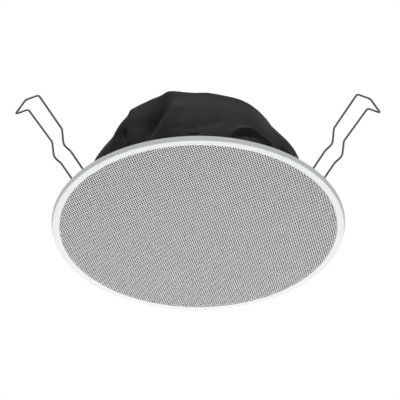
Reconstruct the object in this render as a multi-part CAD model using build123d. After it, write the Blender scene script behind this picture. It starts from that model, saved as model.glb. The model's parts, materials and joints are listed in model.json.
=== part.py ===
from build123d import *
import os
from math import cos, exp, radians, sin, sqrt

os.makedirs("parts", exist_ok=True)

# An in-ceiling loudspeaker of 230 mm, for a 200 mm cut-out. The origin is the centre of the
# flange's back face, which lies against the ceiling. +Z points up, into the ceiling void, and
# the grille looks down.

# White moulded panel, whose radii build outwards from the driver's mouth
OPENING_CLEARANCE = 1.0
BASKET_CLEARANCE = 3.5
COLLAR_WALL = 2.5
COLLAR_H = 5.0
BRACKET_ROOM = 4.3
SPIGOT_REACH = 2.0
SPIGOT_WALL = 2.0
SPIGOT_H = 2.5
NOTCH_DEPTH = 0.2
FLANGE_W = 17.0
BEZEL_T = 3.7
BEZEL_DRAFT = 1.0
BEZEL_EDGE = 0.5
BEZEL_FACE_W = 5.2
PLATE_T = 2.1
BAFFLE_T = 2.9
RIB_T = 1.6
RIBS_PER_BAY = 3

# Grille and the black cloth behind it
GRILLE_T = 0.5
GRILLE_RECESS = 0.5
GRILLE_GAP = 0.3
GRILLE_SEAT_W = 4.0
GRILLE_HOLE_PITCH = 19.0
GRILLE_HOLE_ACROSS = 12.0
GRILLE_MARGIN = 3.0
SCRIM_T = 0.4
SCRIM_GAP = 0.6

# Spring clamps: three wire loops, each turning on its own ends in a rolled bracket
CLAMP_AZIMUTHS = (90.0, 210.0, 330.0)
WIRE_R = 0.8
LEG_SPACING = 17.8
LEG_ANGLE = 49.0
LEG_LENGTH = 30.9
KINK_REACH = 6.3
KINK_RISE = 3.6
SHANK_REACH = 2.3
SHANK_RISE = 13.8
ARM_REACH = 22.0
ARM_RISE = 23.6
HOOK_REACH = 10.4
HOOK_DROP = 8.3
BEND_R = 4.0
CORNER_R = 2.0
PIN_CLEARANCE = 0.05
PIN_INNER = 1.0
BRACKET_T = 0.8
BARREL_GAP = 0.6
BRACKET_OVERHANG = 7.6
BRACKET_W = 4.4
BRACKET_SETBACK = 1.3
BAY_CLEARANCE = 0.5
RIVET_R = 1.5
RIVET_HEAD_R = 2.2
RIVET_HEAD_T = 0.8
RIVET_INSET = 3.2
RIVET_CLEARANCE = 0.05

# Loudspeaker driver
BASKET_MOUTH_R = 70.0
BASKET_FLANGE_W = 10.0
BASKET_T = 1.0
BOWL_W = 26.0
BOWL_SLOPE = 0.55
LEDGE_W = 8.0
LEDGE_RISE = 27.0
CUP_DEPTH = 6.0
WINDOWS = 4
WINDOW_SPAN = 62.0
WINDOW_RIM = 4.0
SCREW_INSET = 3.0
SCREW_R = 1.5
SCREW_HEAD_R = 3.0
SCREW_HEAD_T = 1.6
SCREW_LENGTH = 3.2
SCREW_CLEARANCE = 0.1
SURROUND_T = 0.6
SURROUND_LIP_W = 4.5
ROLL_W = 7.0
ROLL_DEPTH = 2.2
CONE_T = 0.6
CONE_RIM_W = 2.5
CONE_DEPTH = 19.6
WHIZZER_R = 30.0
WHIZZER_DEPTH = 9.0
WHIZZER_T = 0.5
CAP_T = 0.8
POLE_R = 12.0
COIL_CLEARANCE = 0.4
FORMER_T = 0.3
FORMER_LENGTH = 21.0
WINDING_T = 0.5
WINDING_LENGTH = 6.0
SPIDER_T = 0.6
SPIDER_WAVE = 1.8
SPIDER_GAP = 0.3
TOP_PLATE_R = 36.0
TOP_PLATE_T = 4.0
MAGNET_OVERHANG = 4.0
MAGNET_BORE_R = 18.0
MAGNET_T = 12.0
YOKE_T = 4.0

# Strap across the back of the driver, line transformer and terminal block
STRAP_T = 1.2
STRAP_W = 30.0
STRAP_LEFT = 46.0
STRAP_RIGHT = 46.0
STRAP_SCREW_X = 10.0
STRAP_SCREW_Y = 9.0
CORE_X = -14.0
CORE_W = 30.0
CORE_H = 25.0
CORE_STACK = 13.0
CORE_LEG_W = 5.0
COIL_STACK = 23.0
COIL_GAP = 0.2
CLIP_T = 0.8
CLIP_W = 9.0
CLIP_FOOT = 6.2
SMALL_SCREW_R = 1.2
SMALL_HEAD_R = 2.2
SMALL_HEAD_T = 1.4
BLOCK_X = 31.0
BLOCK_L = 20.0
BLOCK_W = 14.0
BLOCK_H = 12.0
BLOCK_WAY_W = 7.0
BLOCK_WAY_H = 5.0
BLOCK_WAYS = 2
TAG_STRIP_T = 1.5
TAG_STRIP_L = 18.0
TAG_STRIP_W = 7.0
TAG_T = 0.6
TAG_W = 3.0
TAG_H = 6.0
TAG_SPACING = 10.0

# Dust bag of black cloth
BAG_T = 0.8
BAG_GAP = 0.3
BAG_SIDES = 60
BAG_LEAN = 0.5
BAG_HEADROOM = 6.5
CLAMP_DENT = 0.9
CLAMP_DENT_SPAN = 14.0

# Radii that follow from those above, from the driver outwards
OPENING_R = BASKET_MOUTH_R + OPENING_CLEARANCE
BASKET_R = BASKET_MOUTH_R + BASKET_FLANGE_W
BASKET_LEDGE_R = BASKET_MOUTH_R - BOWL_W
SCREW_CIRCLE_R = BASKET_R - SCREW_INSET
COLLAR_INNER_R = BASKET_R + BASKET_CLEARANCE
COLLAR_R = COLLAR_INNER_R + COLLAR_WALL
BRACKET_OUTER_R = COLLAR_R + BRACKET_ROOM + BRACKET_W
PIVOT_R = BRACKET_OUTER_R + BRACKET_SETBACK
SPIGOT_R = PIVOT_R + SPIGOT_REACH
PANEL_R = SPIGOT_R + FLANGE_W
MAGNET_R = TOP_PLATE_R + MAGNET_OVERHANG

# Other sizes that follow
BEZEL_FRONT_R = PANEL_R - BEZEL_DRAFT
BEZEL_INNER_R = BEZEL_FRONT_R - BEZEL_FACE_W
GRILLE_FRONT_Z = -BEZEL_T + GRILLE_RECESS
GRILLE_SEAT_Z = GRILLE_FRONT_Z + GRILLE_T
GRILLE_R = BEZEL_INNER_R - GRILLE_GAP
SEAT_INNER_R = BEZEL_INNER_R - GRILLE_SEAT_W
BAFFLE_FRONT_Z = GRILLE_SEAT_Z + SCRIM_T + SCRIM_GAP
CHANNEL_Z = BAFFLE_FRONT_Z + PLATE_T
DRIVER_SEAT_Z = BAFFLE_FRONT_Z + BAFFLE_T
COLLAR_TOP_Z = CHANNEL_Z + COLLAR_H
SPIGOT_INNER_R = SPIGOT_R - SPIGOT_WALL
BARREL_R = WIRE_R + PIN_CLEARANCE + BRACKET_T
BARREL_HALF = LEG_SPACING / 2 - CORNER_R - BARREL_GAP
PIVOT_Z = CHANNEL_Z + BARREL_R
BRACKET_HALF = LEG_SPACING / 2 + BRACKET_OVERHANG
BAY_HALF = BRACKET_HALF + BAY_CLEARANCE
RIVET_AT_R = BRACKET_OUTER_R - BRACKET_W / 2
RIVET_AT_T = BRACKET_HALF - RIVET_INSET

BASKET_Z = DRIVER_SEAT_Z + SURROUND_T
BASKET_BACK_Z = BASKET_Z + BASKET_T
LEDGE_Z = BASKET_Z + LEDGE_RISE
LEDGE_INNER_R = BASKET_LEDGE_R - LEDGE_W
CUP_Z = LEDGE_Z + CUP_DEPTH
MOTOR_Z = CUP_Z + BASKET_T
MAGNET_Z = MOTOR_Z + TOP_PLATE_T
YOKE_Z = MAGNET_Z + MAGNET_T
STRAP_Z = YOKE_Z + YOKE_T
STRAP_TOP_Z = STRAP_Z + STRAP_T
FORMER_R = POLE_R + COIL_CLEARANCE + FORMER_T
WINDING_R = FORMER_R + WINDING_T
GAP_R = WINDING_R + COIL_CLEARANCE
ROLL_INNER_R = BASKET_MOUTH_R - ROLL_W
CONE_RIM_Z = DRIVER_SEAT_Z + SURROUND_T
NECK_Z = CONE_RIM_Z + CONE_DEPTH
COIL_Z = MOTOR_Z + TOP_PLATE_T / 2 - WINDING_LENGTH / 2
FORMER_TOP_Z = COIL_Z + WINDING_LENGTH
FORMER_FRONT_Z = FORMER_TOP_Z - FORMER_LENGTH
TIP_CAP_Z = FORMER_FRONT_Z - CAP_T
BAG_HEM_R = (COLLAR_R + BAG_GAP) / cos(radians(180.0 / BAG_SIDES)) + BAG_T
BAG_HEM_Z = CHANNEL_Z + 2 * BAG_GAP
BAG_CROWN_Z = STRAP_TOP_Z + CORE_H + CLIP_T + BAG_HEADROOM


def turned(outline):
    """Solid of revolution about Z from an outline of (radius, height) points."""
    corners = [(r, 0, z) for r, z in outline]
    return revolve(make_face(Polyline(*corners, close=True)), axis=Axis.Z)


def disc(radius, bottom, thickness, bore=0.0):
    """Flat disc or washer about Z, standing on the height called bottom."""
    plate = Pos(0, 0, bottom) * extrude(Circle(radius), amount=thickness)
    if bore > 0:
        plate -= Pos(0, 0, bottom) * extrude(Circle(bore), amount=thickness)
    return plate


def block(x_size, y_size, z_size, x=0.0, y=0.0, bottom=0.0):
    """Box centred on x and y, standing on the height called bottom."""
    place = Pos(x, y, bottom)
    return place * Box(x_size, y_size, z_size, align=(Align.CENTER, Align.CENTER, Align.MIN))


def peg(radius, x, y, bottom, top):
    """Upright round peg or hole between two heights."""
    return Pos(x, y, bottom) * extrude(Circle(radius), amount=top - bottom)


def headed_pin(shank_r, head_r, head_t, seat_z, shank_z, x, y):
    """Screw or rivet whose head lies on the height called seat_z."""
    head = peg(head_r, x, y, seat_z, seat_z + head_t)
    return head + peg(shank_r, x, y, shank_z, seat_z)


def turn(azimuth):
    """Rotation about the panel's axis that carries +X to an azimuth."""
    return Rot(0, 0, azimuth)


def screw_azimuths():
    """Driver screws stand between the basket's windows."""
    return [45.0 + 360.0 * i / WINDOWS for i in range(WINDOWS)]


def panel_frame():
    """Bezel, grille seat, baffle with the driver's opening, bag collar and locating spigot."""
    body = turned([
        (PANEL_R, 0),
        (BEZEL_FRONT_R + BEZEL_DRAFT * BEZEL_EDGE / BEZEL_T, -BEZEL_T + BEZEL_EDGE),
        (BEZEL_FRONT_R - BEZEL_EDGE, -BEZEL_T),
        (BEZEL_INNER_R, -BEZEL_T),
        (BEZEL_INNER_R, GRILLE_SEAT_Z),
        (SEAT_INNER_R, GRILLE_SEAT_Z),
        (SEAT_INNER_R, BAFFLE_FRONT_Z),
        (OPENING_R, BAFFLE_FRONT_Z),
        (OPENING_R, DRIVER_SEAT_Z),
        (COLLAR_INNER_R, DRIVER_SEAT_Z),
        (COLLAR_INNER_R, COLLAR_TOP_Z),
        (COLLAR_R, COLLAR_TOP_Z),
        (COLLAR_R, CHANNEL_Z),
        (SPIGOT_INNER_R, CHANNEL_Z),
        (SPIGOT_INNER_R, SPIGOT_H),
        (SPIGOT_R, SPIGOT_H),
        (SPIGOT_R, 0),
    ])
    wall = disc(SPIGOT_R, -NOTCH_DEPTH, SPIGOT_H + NOTCH_DEPTH, bore=SPIGOT_INNER_R)
    notch = wall & block(SPIGOT_R, 2 * BAY_HALF, 2 * SPIGOT_H, x=SPIGOT_R, bottom=-NOTCH_DEPTH)
    rib_from = BAG_HEM_R + 2 * BAG_GAP
    rib_length = SPIGOT_INNER_R - rib_from
    rib_x = rib_from + rib_length / 2
    rib = block(rib_length, RIB_T, SPIGOT_H - CHANNEL_Z, x=rib_x, bottom=CHANNEL_Z)
    bay_pitch = 360.0 / len(CLAMP_AZIMUTHS)
    for azimuth in CLAMP_AZIMUTHS:
        body -= turn(azimuth) * notch
        for side in (1, -1):
            body -= turn(azimuth) * peg(
                RIVET_R + RIVET_CLEARANCE, RIVET_AT_R, side * RIVET_AT_T, BAFFLE_FRONT_Z, CHANNEL_Z
            )
        for i in range(RIBS_PER_BAY):
            body += turn(azimuth + bay_pitch * (i + 1) / (RIBS_PER_BAY + 1)) * rib
    for azimuth in screw_azimuths():
        pilot = peg(SCREW_R, SCREW_CIRCLE_R, 0, BASKET_BACK_Z - SCREW_LENGTH, DRIVER_SEAT_Z)
        body -= turn(azimuth) * pilot
    return body


def grille():
    """Flat steel disc in the bezel's recess, pierced on a hexagonal lattice."""
    sheet = disc(GRILLE_R, GRILLE_FRONT_Z, GRILLE_T)
    corner_r = GRILLE_HOLE_ACROSS / sqrt(3)
    row_pitch = GRILLE_HOLE_PITCH * sqrt(3) / 2
    rows = int(GRILLE_R / row_pitch) + 1
    reach = GRILLE_R - GRILLE_MARGIN - corner_r
    holes = []
    for row in range(-rows, rows + 1):
        for column in range(-2 * rows, 2 * rows + 1):
            x = GRILLE_HOLE_PITCH * (column + row / 2)
            y = row_pitch * row
            if x * x + y * y < reach * reach:
                holes.append(Pos(x, y, GRILLE_FRONT_Z) * RegularPolygon(corner_r, 6, rotation=30))
    return sheet - extrude(Sketch() + holes, amount=GRILLE_T)


def grille_scrim():
    """Black cloth disc glued to the back of the grille."""
    return disc(SEAT_INNER_R - GRILLE_GAP, GRILLE_SEAT_Z, SCRIM_T)


def clamp_line():
    """Bend points of one clamp leg, as (radius, height) from the pivot to the hook's tip."""
    steps = [
        (LEG_LENGTH * cos(radians(LEG_ANGLE)), LEG_LENGTH * sin(radians(LEG_ANGLE))),
        (KINK_REACH, KINK_RISE),
        (SHANK_REACH, SHANK_RISE),
        (ARM_REACH, ARM_RISE),
        (HOOK_REACH, -HOOK_DROP),
    ]
    line = [(PIVOT_R, PIVOT_Z)]
    for reach, rise in steps:
        r, z = line[-1]
        line.append((r + reach, z + rise))
    return line


def spring_clamp():
    """Wire loop on the +X side: two pivot ends, two bent legs and the hook's cross bar."""
    half = LEG_SPACING / 2
    line = clamp_line()
    right = [(r, half, z) for r, z in line]
    left = [(r, -half, z) for r, z in reversed(line)]
    start = (PIVOT_R, PIN_INNER, PIVOT_Z)
    end = (PIVOT_R, -PIN_INNER, PIVOT_Z)
    bends = [CORNER_R] + [BEND_R] * 3 + [BEND_R / 2, CORNER_R]
    path = FilletPolyline(start, *right, *left, end, radius=bends + bends[::-1])
    return sweep(Plane(path @ 0, z_dir=path % 0) * Circle(WIRE_R), path=path)


def clamp_bracket():
    """Pressed steel plate on the +X side, with a rolled barrel for the clamp's two ends."""
    base_mid = BRACKET_OUTER_R - BRACKET_W / 2
    plate = block(BRACKET_W, 2 * BRACKET_HALF, BRACKET_T, x=base_mid, bottom=CHANNEL_Z)
    neck = block(
        BRACKET_SETBACK, 2 * BARREL_HALF, BRACKET_T, x=PIVOT_R - BRACKET_SETBACK / 2, bottom=CHANNEL_Z
    )
    end = Plane((PIVOT_R, -BARREL_HALF, PIVOT_Z), z_dir=(0, 1, 0))
    barrel = extrude(end * Circle(BARREL_R), amount=2 * BARREL_HALF)
    bore = extrude(end * Circle(WIRE_R + PIN_CLEARANCE), amount=2 * BARREL_HALF)
    bracket = plate + neck + barrel - bore
    for side in (1, -1):
        bracket -= peg(
            RIVET_R + RIVET_CLEARANCE, RIVET_AT_R, side * RIVET_AT_T, CHANNEL_Z, CHANNEL_Z + BRACKET_T
        )
    return bracket


def bracket_rivets():
    """Two rivets through each bracket and the panel."""
    rivets = []
    for azimuth in CLAMP_AZIMUTHS:
        for side in (1, -1):
            rivet = headed_pin(
                RIVET_R, RIVET_HEAD_R, RIVET_HEAD_T, CHANNEL_Z + BRACKET_T, BAFFLE_FRONT_Z,
                RIVET_AT_R, side * RIVET_AT_T,
            )
            rivets.append(turn(azimuth) * rivet)
    return Compound(children=rivets)


def driver_basket():
    """Pressed steel bowl with a screw flange, open windows, the spider's ledge and a back cup."""
    slope = BASKET_T * BOWL_SLOPE
    bowl = turned([
        (BASKET_R, BASKET_Z),
        (BASKET_MOUTH_R, BASKET_Z),
        (BASKET_LEDGE_R, LEDGE_Z),
        (LEDGE_INNER_R, LEDGE_Z),
        (LEDGE_INNER_R, CUP_Z),
        (GAP_R, CUP_Z),
        (GAP_R, MOTOR_Z),
        (LEDGE_INNER_R + BASKET_T, MOTOR_Z),
        (LEDGE_INNER_R + BASKET_T, LEDGE_Z + BASKET_T),
        (BASKET_LEDGE_R + slope, LEDGE_Z + BASKET_T),
        (BASKET_MOUTH_R + slope, BASKET_BACK_Z),
        (BASKET_R, BASKET_BACK_Z),
    ])
    inner = BASKET_LEDGE_R + WINDOW_RIM
    outer = BASKET_MOUTH_R - WINDOW_RIM
    half = radians(WINDOW_SPAN / 2)
    corners = [
        (inner * cos(half), -inner * sin(half)),
        (outer * cos(half), -outer * sin(half)),
        (outer * cos(half), outer * sin(half)),
        (inner * cos(half), inner * sin(half)),
    ]
    window = make_face([
        Line(corners[0], corners[1]),
        ThreePointArc(corners[1], (outer, 0), corners[2]),
        Line(corners[2], corners[3]),
        ThreePointArc(corners[3], (inner, 0), corners[0]),
    ])
    opening = Pos(0, 0, BASKET_Z) * extrude(window, amount=LEDGE_RISE + BASKET_T)
    for i in range(WINDOWS):
        bowl -= turn(360.0 * i / WINDOWS) * opening
    for azimuth in screw_azimuths():
        hole = peg(SCREW_R + SCREW_CLEARANCE, SCREW_CIRCLE_R, 0, BASKET_Z, BASKET_BACK_Z)
        bowl -= turn(azimuth) * hole
    return bowl


def driver_screws():
    """Four screws that hold the driver to the baffle."""
    tip_z = BASKET_BACK_Z - SCREW_LENGTH
    screw = headed_pin(
        SCREW_R, SCREW_HEAD_R, SCREW_HEAD_T, BASKET_BACK_Z, tip_z, SCREW_CIRCLE_R, 0
    )
    return Compound(children=[turn(azimuth) * screw for azimuth in screw_azimuths()])


def surround():
    """Folded edge between the basket's flange and the cone's rim."""
    crest_r = BASKET_MOUTH_R - ROLL_W / 2
    front = DRIVER_SEAT_Z
    back = DRIVER_SEAT_Z + SURROUND_T
    return turned([
        (BASKET_MOUTH_R + SURROUND_LIP_W, front),
        (BASKET_MOUTH_R, front),
        (crest_r, front - ROLL_DEPTH),
        (ROLL_INNER_R, front),
        (ROLL_INNER_R - CONE_RIM_W, front),
        (ROLL_INNER_R - CONE_RIM_W, back),
        (ROLL_INNER_R, back),
        (crest_r, back - ROLL_DEPTH),
        (BASKET_MOUTH_R, back),
        (BASKET_MOUTH_R + SURROUND_LIP_W, back),
    ])


def cone():
    """Paper cone with a flat rim on the surround and its neck on the voice coil."""
    rim_inner = ROLL_INNER_R - CONE_RIM_W
    return turned([
        (ROLL_INNER_R, CONE_RIM_Z),
        (rim_inner, CONE_RIM_Z),
        (FORMER_R, NECK_Z),
        (FORMER_R, NECK_Z + CONE_T),
        (rim_inner, CONE_RIM_Z + CONE_T),
        (ROLL_INNER_R, CONE_RIM_Z + CONE_T),
    ])


def whizzer_cone():
    """Small free-edged cone for the high notes, in front of the main cone's neck."""
    neck = NECK_Z - CONE_T
    return turned([
        (WHIZZER_R, neck - WHIZZER_DEPTH),
        (FORMER_R, neck - WHIZZER_T),
        (FORMER_R, neck),
        (WHIZZER_R, neck - WHIZZER_DEPTH + WHIZZER_T),
    ])


def dust_cap():
    """Felt disc that closes the front of the voice coil."""
    return disc(FORMER_R, TIP_CAP_Z, CAP_T)


def voice_coil():
    """Former with its winding, in the magnet's gap."""
    return turned([
        (FORMER_R - FORMER_T, FORMER_FRONT_Z),
        (FORMER_R, FORMER_FRONT_Z),
        (FORMER_R, COIL_Z),
        (WINDING_R, COIL_Z),
        (WINDING_R, FORMER_TOP_Z),
        (FORMER_R - FORMER_T, FORMER_TOP_Z),
    ])


def spider():
    """Waved cloth ring that centres the voice coil, glued to the basket's ledge."""
    outer = BASKET_LEDGE_R - SPIDER_GAP
    inner = FORMER_R + SPIDER_GAP
    crest = (LEDGE_INNER_R + inner) / 2
    back = LEDGE_Z
    front = LEDGE_Z - SPIDER_T
    return turned([
        (outer, front),
        (LEDGE_INNER_R, front),
        (crest, front - SPIDER_WAVE),
        (inner, front),
        (inner, back),
        (crest, back - SPIDER_WAVE),
        (LEDGE_INNER_R, back),
        (outer, back),
    ])


def top_plate():
    """Front pole plate of the magnet, behind the basket's cup."""
    return disc(TOP_PLATE_R, MOTOR_Z, TOP_PLATE_T, bore=GAP_R)


def magnet():
    """Ferrite ring."""
    return disc(MAGNET_R, MAGNET_Z, MAGNET_T, bore=MAGNET_BORE_R)


def yoke():
    """Back plate with the pole that stands in the voice coil."""
    plate = disc(TOP_PLATE_R, YOKE_Z, YOKE_T) + peg(POLE_R, 0, 0, MOTOR_Z, YOKE_Z)
    for side in (1, -1):
        plate -= peg(SMALL_SCREW_R, STRAP_SCREW_X, side * STRAP_SCREW_Y, YOKE_Z, STRAP_Z)
    return plate


def tag_strip():
    """Phenolic strip on the basket's flange that carries the two lead tags."""
    middle = (BASKET_MOUTH_R + BASKET_R + BASKET_T) / 2
    return block(TAG_STRIP_W, TAG_STRIP_L, TAG_STRIP_T, x=middle, bottom=BASKET_BACK_Z)


def lead_tags():
    """Two brass solder tags that stand on the strip."""
    middle = (BASKET_MOUTH_R + BASKET_R + BASKET_T) / 2
    foot_z = BASKET_BACK_Z + TAG_STRIP_T
    tags = []
    for side in (1, -1):
        tags.append(block(TAG_T, TAG_W, TAG_H, x=middle, y=side * TAG_SPACING / 2, bottom=foot_z))
    return Compound(children=tags)


def clip_screw_places():
    """X places of the two screws in the transformer clip's feet."""
    reach = CORE_W / 2 + CLIP_T + CLIP_FOOT / 2
    return [CORE_X - reach, CORE_X + reach]


def rear_strap():
    """Flat steel strap screwed to the yoke, which carries the transformer and terminal block."""
    length = STRAP_LEFT + STRAP_RIGHT
    strap = block(length, STRAP_W, STRAP_T, x=(STRAP_RIGHT - STRAP_LEFT) / 2, bottom=STRAP_Z)
    strap = fillet(strap.edges().filter_by(Axis.Z), radius=STRAP_W / 6)
    for side in (1, -1):
        strap -= peg(
            SMALL_SCREW_R + SCREW_CLEARANCE, STRAP_SCREW_X, side * STRAP_SCREW_Y, STRAP_Z, STRAP_TOP_Z
        )
    for x in clip_screw_places():
        strap -= peg(SMALL_SCREW_R, x, 0, STRAP_Z, STRAP_TOP_Z)
    return strap


def strap_screws():
    """Two screws from the strap into the yoke."""
    screws = []
    for side in (1, -1):
        screws.append(headed_pin(
            SMALL_SCREW_R, SMALL_HEAD_R, SMALL_HEAD_T, STRAP_TOP_Z, YOKE_Z,
            STRAP_SCREW_X, side * STRAP_SCREW_Y,
        ))
    return Compound(children=screws)


def transformer_core():
    """Stack of E and I laminations standing on the strap."""
    core = block(CORE_W, CORE_STACK, CORE_H, x=CORE_X, bottom=STRAP_TOP_Z)
    window_h = CORE_H - 2 * CORE_LEG_W
    window_w = (CORE_W - 4 * CORE_LEG_W) / 2
    for side in (1, -1):
        x = CORE_X + side * (CORE_LEG_W + window_w / 2)
        core -= block(window_w, CORE_STACK, window_h, x=x, bottom=STRAP_TOP_Z + CORE_LEG_W)
    return core


def transformer_winding():
    """Taped coil on the core's middle leg."""
    height = CORE_H - 2 * CORE_LEG_W - 2 * COIL_GAP
    width = CORE_W - 2 * CORE_LEG_W - 2 * COIL_GAP
    foot_z = STRAP_TOP_Z + CORE_LEG_W + COIL_GAP
    coil = block(width, COIL_STACK, height, x=CORE_X, bottom=foot_z)
    coil = fillet(coil.edges().filter_by(Axis.Z), radius=CORE_LEG_W / 4)
    leg_w = 2 * CORE_LEG_W + 2 * COIL_GAP
    leg_d = CORE_STACK + 2 * COIL_GAP
    return coil - block(leg_w, leg_d, height, x=CORE_X, bottom=foot_z)


def transformer_clip():
    """Steel channel over the core, with a screwed foot at each side."""
    outer_w = CORE_W + 2 * CLIP_T
    channel = block(outer_w, CLIP_W, CORE_H + CLIP_T, x=CORE_X, bottom=STRAP_TOP_Z)
    channel += block(outer_w + 2 * CLIP_FOOT, CLIP_W, CLIP_T, x=CORE_X, bottom=STRAP_TOP_Z)
    channel -= block(CORE_W, CLIP_W, CORE_H, x=CORE_X, bottom=STRAP_TOP_Z)
    for x in clip_screw_places():
        channel -= peg(SMALL_SCREW_R + SCREW_CLEARANCE, x, 0, STRAP_TOP_Z, STRAP_TOP_Z + CLIP_T)
    return channel


def transformer_screws():
    """Two screws from the clip's feet into the strap."""
    screws = []
    for x in clip_screw_places():
        screws.append(headed_pin(
            SMALL_SCREW_R, SMALL_HEAD_R, SMALL_HEAD_T, STRAP_TOP_Z + CLIP_T, STRAP_Z, x, 0
        ))
    return Compound(children=screws)


def way_places():
    """Y places of the terminal block's wire ways."""
    pitch = BLOCK_L / BLOCK_WAYS
    return [pitch * (i - (BLOCK_WAYS - 1) / 2) for i in range(BLOCK_WAYS)]


def terminal_block():
    """Moulded block at the right end of the strap, open towards the edge for the line's wires."""
    body = block(BLOCK_W, BLOCK_L, BLOCK_H, x=BLOCK_X, bottom=STRAP_TOP_Z)
    way_z = STRAP_TOP_Z + (BLOCK_H - BLOCK_WAY_H) / 2
    for y in way_places():
        body -= block(BLOCK_W, BLOCK_WAY_W, BLOCK_WAY_H, x=BLOCK_X + BLOCK_W / 2, y=y, bottom=way_z)
        body -= peg(SMALL_SCREW_R + SCREW_CLEARANCE, BLOCK_X, y, way_z, STRAP_TOP_Z + BLOCK_H)
    return body


def terminal_screws():
    """Clamping screws of the terminal block."""
    seat_z = STRAP_TOP_Z + BLOCK_H
    foot_z = STRAP_TOP_Z + (BLOCK_H + BLOCK_WAY_H) / 2
    screws = []
    for y in way_places():
        screws.append(headed_pin(
            SMALL_SCREW_R, SMALL_HEAD_R, SMALL_HEAD_T / 2, seat_z, foot_z, BLOCK_X, y
        ))
    return Compound(children=screws)


# Bag levels from the hem to the crown, as (height, radius, share of the folds, share of the
# lean, shift to the right)
BAG_LEVELS = [
    (BAG_HEM_Z, BAG_HEM_R, 0.0, 0.0, 0.0),
    (COLLAR_TOP_Z, BAG_HEM_R, 0.0, 0.0, 0.0),
    (BAG_CROWN_Z - 75.0, BAG_HEM_R, 0.8, 0.0, 0.0),
    (BAG_CROWN_Z - 65.0, BAG_HEM_R - 0.5, 1.0, 0.0, -0.5),
    (BAG_CROWN_Z - 54.0, BAG_HEM_R - 2.5, 1.0, 0.0, -0.5),
    (BAG_CROWN_Z - 46.0, BAG_HEM_R - 5.0, 1.0, 0.0, -0.5),
    (BAG_CROWN_Z - 38.0, BAG_HEM_R - 8.0, 1.0, 0.1, 0.0),
    (BAG_CROWN_Z - 31.0, BAG_HEM_R - 10.5, 1.0, 0.2, 0.0),
    (BAG_CROWN_Z - 24.0, BAG_HEM_R - 13.5, 1.0, 0.35, 0.0),
    (BAG_CROWN_Z - 12.0, BAG_HEM_R - 18.5, 1.0, 0.7, -1.0),
    (BAG_CROWN_Z - 2.5, BAG_HEM_R - 23.0, 0.8, 1.0, -1.0),
    (BAG_CROWN_Z, BAG_HEM_R - 50.0, 0.3, 1.0, 6.0),
]

# Folds of the cloth, as (azimuth, drop below the crown, direction, reach, width, depth) on the
# unrolled side. A direction of 90 runs up the bag. Ridges stand out, valleys go in.
BAG_FOLDS = [
    (20.0, 34.0, 85.0, 36.0, 16.0, -2.0),
    (40.0, 38.0, 90.0, 16.0, 30.0, 4.0),
    (62.0, 39.0, 95.0, 34.0, 15.0, 2.0),
    (100.0, 38.0, 90.0, 16.0, 30.0, 4.0),
    (118.0, 37.0, 85.0, 34.0, 16.0, 2.0),
    (150.0, 39.0, 95.0, 36.0, 14.0, -2.0),
    (162.0, 38.0, 90.0, 16.0, 26.0, 4.0),
    (186.0, 39.0, 90.0, 34.0, 16.0, 2.0),
    (203.0, 66.0, 90.0, 10.0, 10.0, 1.0),
    (207.0, 39.0, 90.0, 16.0, 27.0, 4.5),
    (223.0, 33.0, 90.0, 14.0, 10.0, 3.5),
    (225.5, 11.0, 90.0, 10.0, 7.0, 2.0),
    (236.0, 7.0, 0.0, 12.0, 9.0, -0.5),
    (246.0, 39.0, 82.0, 32.0, 9.0, -5.0),
    (250.0, 3.0, 90.0, 14.0, 7.0, 5.0),
    (254.0, 35.0, 75.0, 32.0, 9.0, 3.0),
    (268.0, 0.0, 0.0, 18.0, 20.0, -3.0),
    (288.0, 0.0, 0.0, 18.0, 20.0, -4.0),
    (297.0, 48.0, 0.0, 20.0, 7.0, 1.5),
    (297.0, 56.0, 5.0, 15.0, 5.0, -2.0),
    (312.0, 8.0, 0.0, 16.0, 16.0, -1.0),
    (316.0, 33.0, 90.0, 13.0, 12.0, -3.5),
    (334.0, 40.0, 90.0, 16.0, 30.0, 4.0),
    (335.0, 64.0, 90.0, 10.0, 10.0, 2.5),
]


def azimuth_gap(azimuth, centre):
    """Signed angle from a centre to an azimuth."""
    return (azimuth - centre + 180.0) % 360.0 - 180.0


def fold_depth(azimuth, height):
    """How far the folds carry the cloth out of round at one place."""
    depth = 0.0
    for centre, drop, direction, reach, width, rise in BAG_FOLDS:
        across = radians(azimuth_gap(azimuth, centre)) * BAG_HEM_R
        up = height - (BAG_CROWN_Z - drop)
        along = across * cos(radians(direction)) + up * sin(radians(direction))
        off = up * cos(radians(direction)) - across * sin(radians(direction))
        depth += rise * exp(-((along / reach) ** 2) - (off / width) ** 2)
    for centre in CLAMP_AZIMUTHS:
        depth -= CLAMP_DENT * exp(-((azimuth_gap(azimuth, centre) / CLAMP_DENT_SPAN) ** 2))
    return depth


def bag_point(r, azimuth, height, lean, shift):
    """Point of a bag ring, whose plane leans to the right near the crown."""
    x = r * cos(radians(azimuth)) + shift
    y = r * sin(radians(azimuth))
    return (x * cos(radians(lean)), y, height - x * sin(radians(lean)))


def bag_skin(inset):
    """Rings of one face of the cloth from the hem up, and the middle of its crown."""
    rings = []
    for height, radius, fold_share, lean_share, shift in BAG_LEVELS:
        ring = []
        for i in range(BAG_SIDES):
            azimuth = 360.0 * i / BAG_SIDES
            r = radius - inset + fold_share * fold_depth(azimuth, height)
            ring.append(bag_point(r, azimuth, height - inset * lean_share, BAG_LEAN * lean_share, shift))
        rings.append(ring)
    crown_z, _, _, lean_share, shift = BAG_LEVELS[-1]
    return rings, bag_point(0.0, 0.0, crown_z - inset, BAG_LEAN * lean_share, shift)


def flat_face(*corners):
    """Flat face between corner points."""
    return Face(Wire.make_polygon(corners, close=True))


def band_faces(lower, upper):
    """Triangles between two rings with the same number of points."""
    faces = []
    for i in range(len(lower)):
        j = (i + 1) % len(lower)
        faces.append(flat_face(lower[i], lower[j], upper[j]))
        faces.append(flat_face(lower[i], upper[j], upper[i]))
    return faces


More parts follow.
